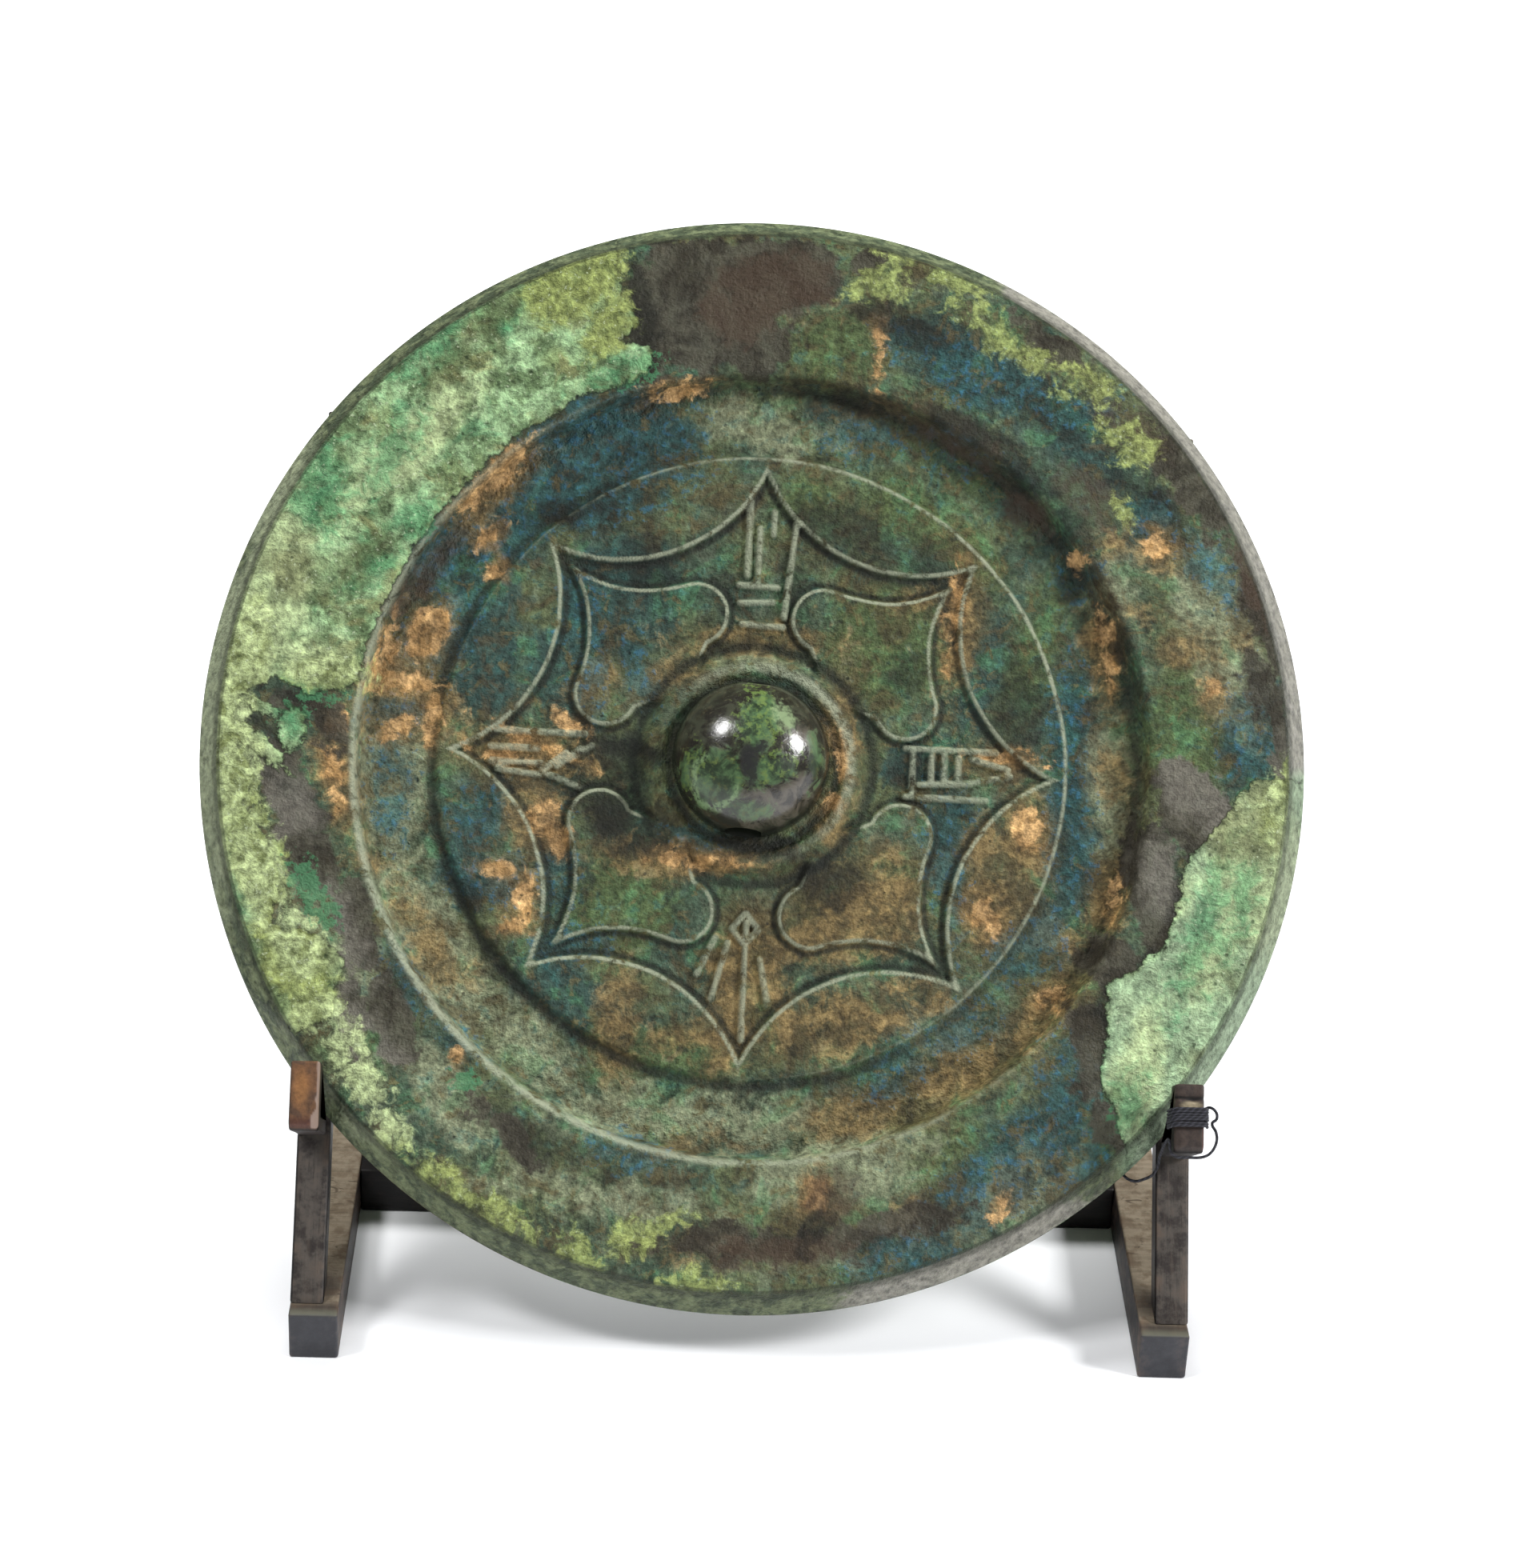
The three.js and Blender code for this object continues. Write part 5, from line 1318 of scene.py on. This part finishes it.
def make_lip(side, cradle, material):
    """A hooked lip: a flat arm with an upturned tip, its lower corner chamfered. Its inner front arris is
    chipped back by as much as c less the distance from it, where c grows towards the bottom. The right one is
    cracked."""
    left, right = side < 0, side > 0
    x0, x1 = side_span(side, LIP_LOW[0], LIP_HIGH[0])
    low, top, cut = LIP["height"], LIP["height"] + LIP["arm"], LIP["chamfer"]
    tip, heel = LIP["height"] + LIP["tip_height"], LIP["reach"] - LIP["tip_depth"]
    corners = [(low, 0), (low, LIP["reach"] - cut), (low + cut, LIP["reach"]), (tip, LIP["reach"]),
               (tip, heel), (top, heel), (top, 0)]
    outline = [upright_point(v, w) for v, w in corners][::-1]
    piece = sawn_piece(f"{side_word(side)}_lip_timber", outline, x0, x1, cradle, material, 0.3)
    p = points_of(piece.data)
    v, w = (p - FOOT) @ ALONG, (p - FOOT) @ OUT
    inner, outer = np.abs(p[:, 0]) - LIP_LOW[0], LIP_HIGH[0] - np.abs(p[:, 0])
    front = fade((w - LIP["reach"] + 1.0) / 0.6)
    ragged = 0.25 * lattice_noise(v, inner, 1.3, 307)
    chip = (0.38 + 0.8 * fade((low + 4.2 - v) / 2.4) + 0.7 * ragged) if left else 0.7 + ragged
    back = np.clip(chip - inner, 0, None) * fade((w - LIP["reach"] + 2.0) / 0.8)
    crack = bell(v - low - 9.1 + 0.25 * lattice_noise(p[:, 0], v, 1.4, 311), 0.32) * right
    back = back + 0.35 * crack * front
    piece.data.vertices.foreach_set("co", ((p - back[:, None] * OUT) * MM).astype(np.float32).ravel())
    piece.data.update()
    chipped = fade((chip + 0.1 - inner) / 0.25) * fade((inner + 0.1) / 0.2) * (1 if left else 0.12)
    stained = fade((low + 3.2 - v) / 2.4) if left else fade((0.5 - outer) / 0.4) * fade((low + 5 - v) / 1)
    marks = {
        # The sides and underside, and the left lip's outer arris, painted near black as shade.
        "side": np.clip(1 - front + fade((0.3 - outer) / 0.25) * 0.8 * left, 0, 1),
        "chip": front * chipped,
        "crack": crack * front,
        "patch": front * np.exp(-np.hypot((v - low - 7.9) / 0.75, (inner - 2.6) / 1.9) ** 4) * right,
        "warm": front * np.exp(-np.hypot((v - low - 7.0) / 3.2, (inner - 2.9) / 1.5) ** 2) * left,
        "red": front * stained,
    }
    for name, values in marks.items():
        store(piece.data, name, values)
    return piece


# ------------------------------------------------------------------ thread

WOUND = {"low": 32.65, "high": 35.85, "off": 0.58, "corner": 1.15}
THREAD_STEP = 0.35
THREAD_SIDES = 8
PLY_TURN = 1.1

# The free thread from the winding on, as (across, up the upright, out from its face) in mm: the two loops,
# the pass under the lip and the tail behind the mirror's edge.
THREAD_ROUTE = [(76.95, 36.1, 14.0), (77.6, 35.7, 14.2), (78.0, 34.9, 14.4), (77.9, 34.1, 14.4),
                (77.25, 33.6, 14.2), (77.3, 33.0, 14.2), (77.75, 32.3, 14.3), (78.0, 31.2, 14.4),
                (77.85, 30.1, 14.5), (77.3, 29.0, 14.6), (76.5, 28.2, 14.7), (75.2, 27.75, 14.8),
                (73.2, 27.7, 14.8), (71.3, 27.75, 14.7), (70.3, 28.5, 14.5), (70.2, 29.8, 14.0),
                (70.2, 30.7, 12.4), (70.2, 30.4, 9.6), (70.2, 29.5, 6.0), (70.2, 28.2, 2.6),
                (70.1, 26.5, 0.9), (69.3, 25.2, 0.5), (68.0, 24.5, 0.2), (66.5, 24.1, 0.0),
                (65.0, 24.6, -0.3), (63.9, 26.1, -0.55), (63.4, 28.2, -0.6)]


def smooth_line(corners, step):
    """A line through the points by centripetal Catmull-Rom pieces, resampled at an even step."""
    p = np.array(corners, float)
    p = np.concatenate([[2 * p[0] - p[1]], p, [2 * p[-1] - p[-2]]])
    out = []
    for a, b, c, d in zip(p[:-3], p[1:-2], p[2:-1], p[3:]):
        k = np.cumsum([0, *(np.linalg.norm(q - r) ** 0.5 for q, r in ((b, a), (c, b), (d, c)))])
        t = np.linspace(k[1], k[2], 24, endpoint=False)[:, None]
        ab, bc, cd = ((u * (k[i + 1] - t) + w * (t - k[i])) / (k[i + 1] - k[i])
                      for i, (u, w) in enumerate(((a, b), (b, c), (c, d))))
        abc = (ab * (k[2] - t) + bc * (t - k[0])) / (k[2] - k[0])
        bcd = (bc * (k[3] - t) + cd * (t - k[1])) / (k[3] - k[1])
        out.append((abc * (k[2] - t) + bcd * (t - k[1])) / (k[2] - k[1]))
    return evenly(np.concatenate([*out, p[-2:-1]]), step)


def evenly(line, step):
    """A line resampled so that its points are a step apart along it."""
    run = np.concatenate([[0], np.cumsum(np.linalg.norm(np.diff(line, axis=0), axis=1))])
    at = np.linspace(0, run[-1], max(2, int(round(run[-1] / step))))
    return np.stack([np.interp(at, run, line[:, k]) for k in range(3)], -1)


def wound_line(turns):
    """The wound turns: round a rectangle with round corners, rising evenly, and slanting across the front
    face by a sine plus a drift that is drawn for each turn."""
    x0, x1 = LIP_LOW[0] - WOUND["off"], LIP_HIGH[0] + WOUND["off"]
    w0, w1 = LIP["reach"] - LIP["tip_depth"] - WOUND["off"], LIP["reach"] + WOUND["off"]
    c = WOUND["corner"]
    quarter = np.linspace(0, math.pi / 2, 6)
    corners = ((x1 - c, w1 - c), (x0 + c, w1 - c), (x0 + c, w0 + c), (x1 - c, w0 + c))
    loop = np.concatenate([
        np.stack([mx + c * np.cos(quarter + k * math.pi / 2), mw + c * np.sin(quarter + k * math.pi / 2)], -1)
        for k, (mx, mw) in enumerate(corners)
    ])
    rounds = np.tile(loop, (turns, 1))
    rise = np.linspace(0, 1, len(rounds))
    phase = np.tile(np.arange(len(loop)) / len(loop), turns)
    draws = np.random.default_rng(17).uniform(-1, 1, turns + 1)
    drift = np.interp(np.arange(len(rounds)), np.arange(turns + 1) * len(loop), draws)
    slant = (0.34 * np.sin(2 * math.pi * phase + 0.9) + 0.22 * drift) * np.sin(math.pi * rise) ** 0.3
    bulge = 1 + 0.02 * np.sin(math.pi * rise) * (1 + drift)
    v = WOUND["low"] + (WOUND["high"] - WOUND["low"]) * rise + slant
    middle = np.array([(x0 + x1) / 2, (w0 + w1) / 2])
    rounds = middle + (rounds - middle) * bulge[:, None]
    return np.stack([rounds[:, 0], v, rounds[:, 1]], -1)


def square_to(normal, tangent):
    """A direction less what of it runs along the line, brought to length 1."""
    normal = normal - tangent * (normal @ tangent)
    return normal / np.linalg.norm(normal)


def tube(line, radius, sides):
    """Rings of a tube along a line: at each point two directions square to it, carried on without
    twisting."""
    tangent = np.gradient(line, axis=0)
    tangent /= np.linalg.norm(tangent, axis=1)[:, None]
    start = np.cross(tangent[0], [0.3, 0.9, 0.2])
    normal = np.array(list(accumulate(tangent[1:], square_to, initial=start)))
    normal[0] = normal[1]
    other = np.cross(tangent, normal)
    turn = np.arange(sides) * 2 * math.pi / sides
    spoke = np.cos(turn)[:, None] * normal[:, None] + np.sin(turn)[:, None] * other[:, None]
    return line[:, None] + radius * spoke


def make_thread(sizes, material):
    """The thread: its wound turns, two loops, the pass under the lip and the tail, one tube along one
    line."""
    local = np.concatenate([wound_line(sizes.turns), THREAD_ROUTE])
    line = smooth_line(leaning(local[:, 0], local[:, 1], local[:, 2]), THREAD_STEP)
    rings = tube(line, sizes.diameter / 2, THREAD_SIDES)
    points = np.concatenate([rings.reshape(-1, 3), line[:1], line[-1:]])
    piece = make_piece("black_thread", points, capped(len(line), THREAD_SIDES), material, 80)
    long = float(np.linalg.norm(np.diff(line, axis=0), axis=1).sum())
    run = np.linspace(0, 1, len(line)) * long
    store(piece.data, "run", np.concatenate([np.repeat(run, THREAD_SIDES), run[[0, -1]]]))
    turn = np.arange(THREAD_SIDES) / THREAD_SIDES
    store(piece.data, "turn", np.concatenate([np.tile(turn, len(line)), [0, 0]]))
    finish_piece(piece, "thread", "thread_winding", "thread_free")
    return piece


def twisted_thread(colour_value):
    """Black two-ply cotton: matt, with a faint twist of one turn in PLY_TURN mm."""
    material, tree, shader = blank_material("black_cotton_thread")
    run, turn = (add(tree, "ShaderNodeAttribute", attribute_name=name, out="Fac") for name in ("run", "turn"))
    angle = add(tree, "ShaderNodeMath", {0: turn, 1: 4 * math.pi}, operation="MULTIPLY")
    angle = add(tree, "ShaderNodeMath", {0: run, 1: 2 * math.pi / PLY_TURN, 2: angle},
                operation="MULTIPLY_ADD")
    ply = add(tree, "ShaderNodeMath", {0: angle}, operation="SINE")
    tree.links.new(coat(tree, colour_value, srgb("#33333b"), ply, -0.2, 1.0), shader.inputs["Base Color"])
    shader.inputs["Roughness"].default_value = 0.85
    bump = add(tree, "ShaderNodeBump", {"Height": ply, "Strength": 0.4, "Distance": 0.0001})
    tree.links.new(bump, shader.inputs["Normal"])
    return material


# ------------------------------------------------------------------ stage

VIEW = {"place": (-17.55, -540.16, 360.91), "down": 27.43, "side": 1.93, "roll": 2.56, "lens": 80.8}
LIT_POINT = np.array([0, 0, 0.08])
FLOOR_REACH = 2200
FLOOR_LINES = 12
# Softboxes as (name, direction, distance in m, size in m, power in W, mirrored in gloss).
SOFTBOXES = (
    ("right_softbox", (0.789, -0.234, 0.569), 1.8, 0.44, 34, True),
    ("left_softbox", (-0.521, -0.203, 0.829), 1.7, 0.36, 14, True),
    ("overhead_softbox", (-0.10, 0.50, 1.0), 1.8, 0.9, 44, False),
)


def place_camera():
    """The camera looks down on the mirror, a little from its left, rolled by a few degrees."""
    down, side, roll = (math.radians(VIEW[key]) for key in ("down", "side", "roll"))
    ahead = np.array([math.sin(side) * math.cos(down), math.cos(side) * math.cos(down), -math.sin(down)])
    right = np.array([math.cos(side), -math.sin(side), 0.0])
    up = np.cross(right, ahead)
    rolled_right = math.cos(roll) * right + math.sin(roll) * up
    rolled_up = math.cos(roll) * up - math.sin(roll) * right
    camera = bpy.data.objects.new("camera", bpy.data.cameras.new("camera"))
    bpy.context.collection.objects.link(camera)
    turn = Matrix(np.stack([rolled_right, rolled_up, -ahead], -1).tolist()).to_4x4()
    camera.matrix_world = Matrix.Translation([c * MM for c in VIEW["place"]]) @ turn
    camera.data.lens = VIEW["lens"]
    camera.data.sensor_width = 36
    camera.data.clip_start, camera.data.clip_end = 0.01, 20
    bpy.context.scene.camera = camera


def softbox(name, toward, distance, size, watts, mirrored):
    """A square studio light that faces the object from a direction, in metres and watts; mirrored or not in
    gloss."""
    light = bpy.data.lights.new(name, "AREA")
    light.shape, light.size, light.energy = "SQUARE", size, watts
    lamp = bpy.data.objects.new(name, light)
    lamp.visible_glossy = mirrored
    bpy.context.collection.objects.link(lamp)
    toward = np.array(toward, float) / np.linalg.norm(toward)
    side = np.cross([0, 0, 1.0], toward)
    side = side / np.linalg.norm(side)
    turn = Matrix(np.stack([side, np.cross(toward, side), toward], -1).tolist()).to_4x4()
    lamp.matrix_world = Matrix.Translation((LIT_POINT + toward * distance).tolist()) @ turn


def make_floor():
    """A plain pale floor: a level square grid."""
    material, _, shader = blank_material("pale_floor")
    shader.inputs["Base Color"].default_value = srgb("#f6f7f9")
    shader.inputs["Roughness"].default_value = 0.9
    x, y = np.meshgrid(*(np.linspace(-FLOOR_REACH, FLOOR_REACH, FLOOR_LINES),) * 2, indexing="ij")
    i, j = np.meshgrid(*(np.arange(FLOOR_LINES - 1),) * 2, indexing="ij")
    first = i * FLOOR_LINES + j
    faces = np.stack([first, first + FLOOR_LINES, first + FLOOR_LINES + 1, first + 1], -1).reshape(-1, 4)
    points = np.stack([x, y, np.zeros_like(x)], -1).reshape(-1, 3)
    floor = make_piece("floor", points, faces.tolist(), material)


def light_room():
    """White surroundings and three softboxes: a strong one on the right, one from the upper left, and one
    overhead that gloss doesn't mirror."""
    world = bpy.data.worlds.new("white_room")
    world.use_nodes = True
    world.node_tree.nodes["Background"].inputs["Color"].default_value = srgb("#f3f6fb")
    world.node_tree.nodes["Background"].inputs["Strength"].default_value = 0.14
    bpy.context.scene.world = world
    bpy.context.scene.view_settings.view_transform = "Standard"
    for values in SOFTBOXES:
        softbox(*values)


# ------------------------------------------------------------------ operators and panel


class MIRROR_OT_stage(bpy.types.Operator):
    """Makes the camera, the lights and the floor"""

    bl_idname = "mirror.stage"
    bl_label = "Stage"

    def execute(self, context):
        place_camera()
        light_room()
        make_floor()
        return {"FINISHED"}


class MIRROR_OT_thread(bpy.types.Operator):
    """Winds the black thread round the right lip"""

    bl_idname = "mirror.thread"
    bl_label = "Thread"

    def execute(self, context):
        sizes = context.scene.thread_sizes
        make_thread(sizes, twisted_thread(sizes.colour))
        return {"FINISHED"}


class MIRROR_OT_disc(bpy.types.Operator):
    """Casts the disc with its star, panels and strokes, and grows its patina"""

    bl_idname = "mirror.disc"
    bl_label = "Disc"

    def execute(self, context):
        material = patinated_bronze(context.scene.patina_colours)
        disc = mirror_disc(context.scene.mirror_sizes, material)
        finish_piece(disc, "bronze", "bronze_mirror")
        return {"FINISHED"}


class MIRROR_OT_boss(bpy.types.Operator):
    """Makes the pierced boss in the middle of the disc"""

    bl_idname = "mirror.boss"
    bl_label = "Boss"

    def execute(self, context):
        boss = mirror_boss(context.scene.mirror_sizes, handled_boss(context.scene.patina_colours))
        finish_piece(boss, "bronze", "bronze_mirror")
        return {"FINISHED"}


class MIRROR_OT_base(bpy.types.Operator):
    """Saws the two rails and the crossbar"""

    bl_idname = "mirror.base"
    bl_label = "Rails and crossbar"

    def execute(self, context):
        cradle, colours = context.scene.cradle_sizes, context.scene.wood_colours
        rail_wood = stained_timber("stained_rail", colours, "y")
        for side, word in ((-1, "left"), (1, "right")):
            finish_piece(make_rail(side, cradle, rail_wood), "dark_wood", f"{word}_rail")
        bar_wood = stained_timber("stained_crossbar", colours, "x")
        finish_piece(make_crossbar(cradle, bar_wood), "dark_wood", "crossbar")
        return {"FINISHED"}


class MIRROR_OT_frames(bpy.types.Operator):
    """Saws the leaning uprights and the rear legs"""

    bl_idname = "mirror.frames"
    bl_label = "Uprights and rear legs"

    def execute(self, context):
        cradle, colours = context.scene.cradle_sizes, context.scene.wood_colours
        wood = stained_timber("stained_upright", colours, "lean", 0.5)
        for side, word in ((-1, "left"), (1, "right")):
            finish_piece(make_upright(side, cradle, wood), "dark_wood", f"{word}_upright")
            finish_piece(make_brace(side, cradle, wood), "dark_wood", f"{word}_brace")
        return {"FINISHED"}


class MIRROR_OT_lips(bpy.types.Operator):
    """Cuts the two hooked lips that carry the mirror's edge"""

    bl_idname = "mirror.lips"
    bl_label = "Lips"

    def execute(self, context):
        cradle, colours = context.scene.cradle_sizes, context.scene.wood_colours
        for side, word, tone in ((-1, "left", colours.end_grain), (1, "right", colours.dark_lip)):
            wood = lip_timber(f"{word}_lip_end_grain", colours, tone)
            finish_piece(make_lip(side, cradle, wood), "lip_wood", f"{word}_lip")
        return {"FINISHED"}


PIECE_OPERATORS = (MIRROR_OT_stage, MIRROR_OT_thread, MIRROR_OT_disc, MIRROR_OT_boss, MIRROR_OT_base,
                   MIRROR_OT_frames, MIRROR_OT_lips)
PROPERTIES = {"mirror_sizes": MirrorSizes, "patina_colours": PatinaColours, "cradle_sizes": CradleSizes,
              "wood_colours": WoodColours, "thread_sizes": ThreadSizes}


class MIRROR_PT_panel(bpy.types.Panel):
    """Lists the sizes, the colours and the steps"""

    bl_idname = "MIRROR_PT_panel"
    bl_label = "Bronze mirror"
    bl_space_type = "VIEW_3D"
    bl_region_type = "UI"
    bl_category = "Mirror"

    def draw(self, context):
        for name, group in PROPERTIES.items():
            values = getattr(context.scene, name)
            box = self.layout.box()
            box.label(text=name.replace("_", " "))
            for key in group.__annotations__:
                box.prop(values, key)
        for operator in PIECE_OPERATORS:
            self.layout.operator(operator.bl_idname)


def register():
    for group in PROPERTIES.values():
        bpy.utils.register_class(group)
    for name, group in PROPERTIES.items():
        setattr(bpy.types.Scene, name, PointerProperty(type=group))
    for item in (*PIECE_OPERATORS, MIRROR_PT_panel):
        bpy.utils.register_class(item)


def unregister():
    for item in (MIRROR_PT_panel, *reversed(PIECE_OPERATORS)):
        bpy.utils.unregister_class(item)
    for name in PROPERTIES:
        delattr(bpy.types.Scene, name)
    for group in PROPERTIES.values():
        bpy.utils.unregister_class(group)


def main():
    register()
    for step in ("stage", "thread", "disc", "boss", "base", "frames", "lips"):
        getattr(bpy.ops.mirror, step)()


if __name__ == "__main__":
    main()
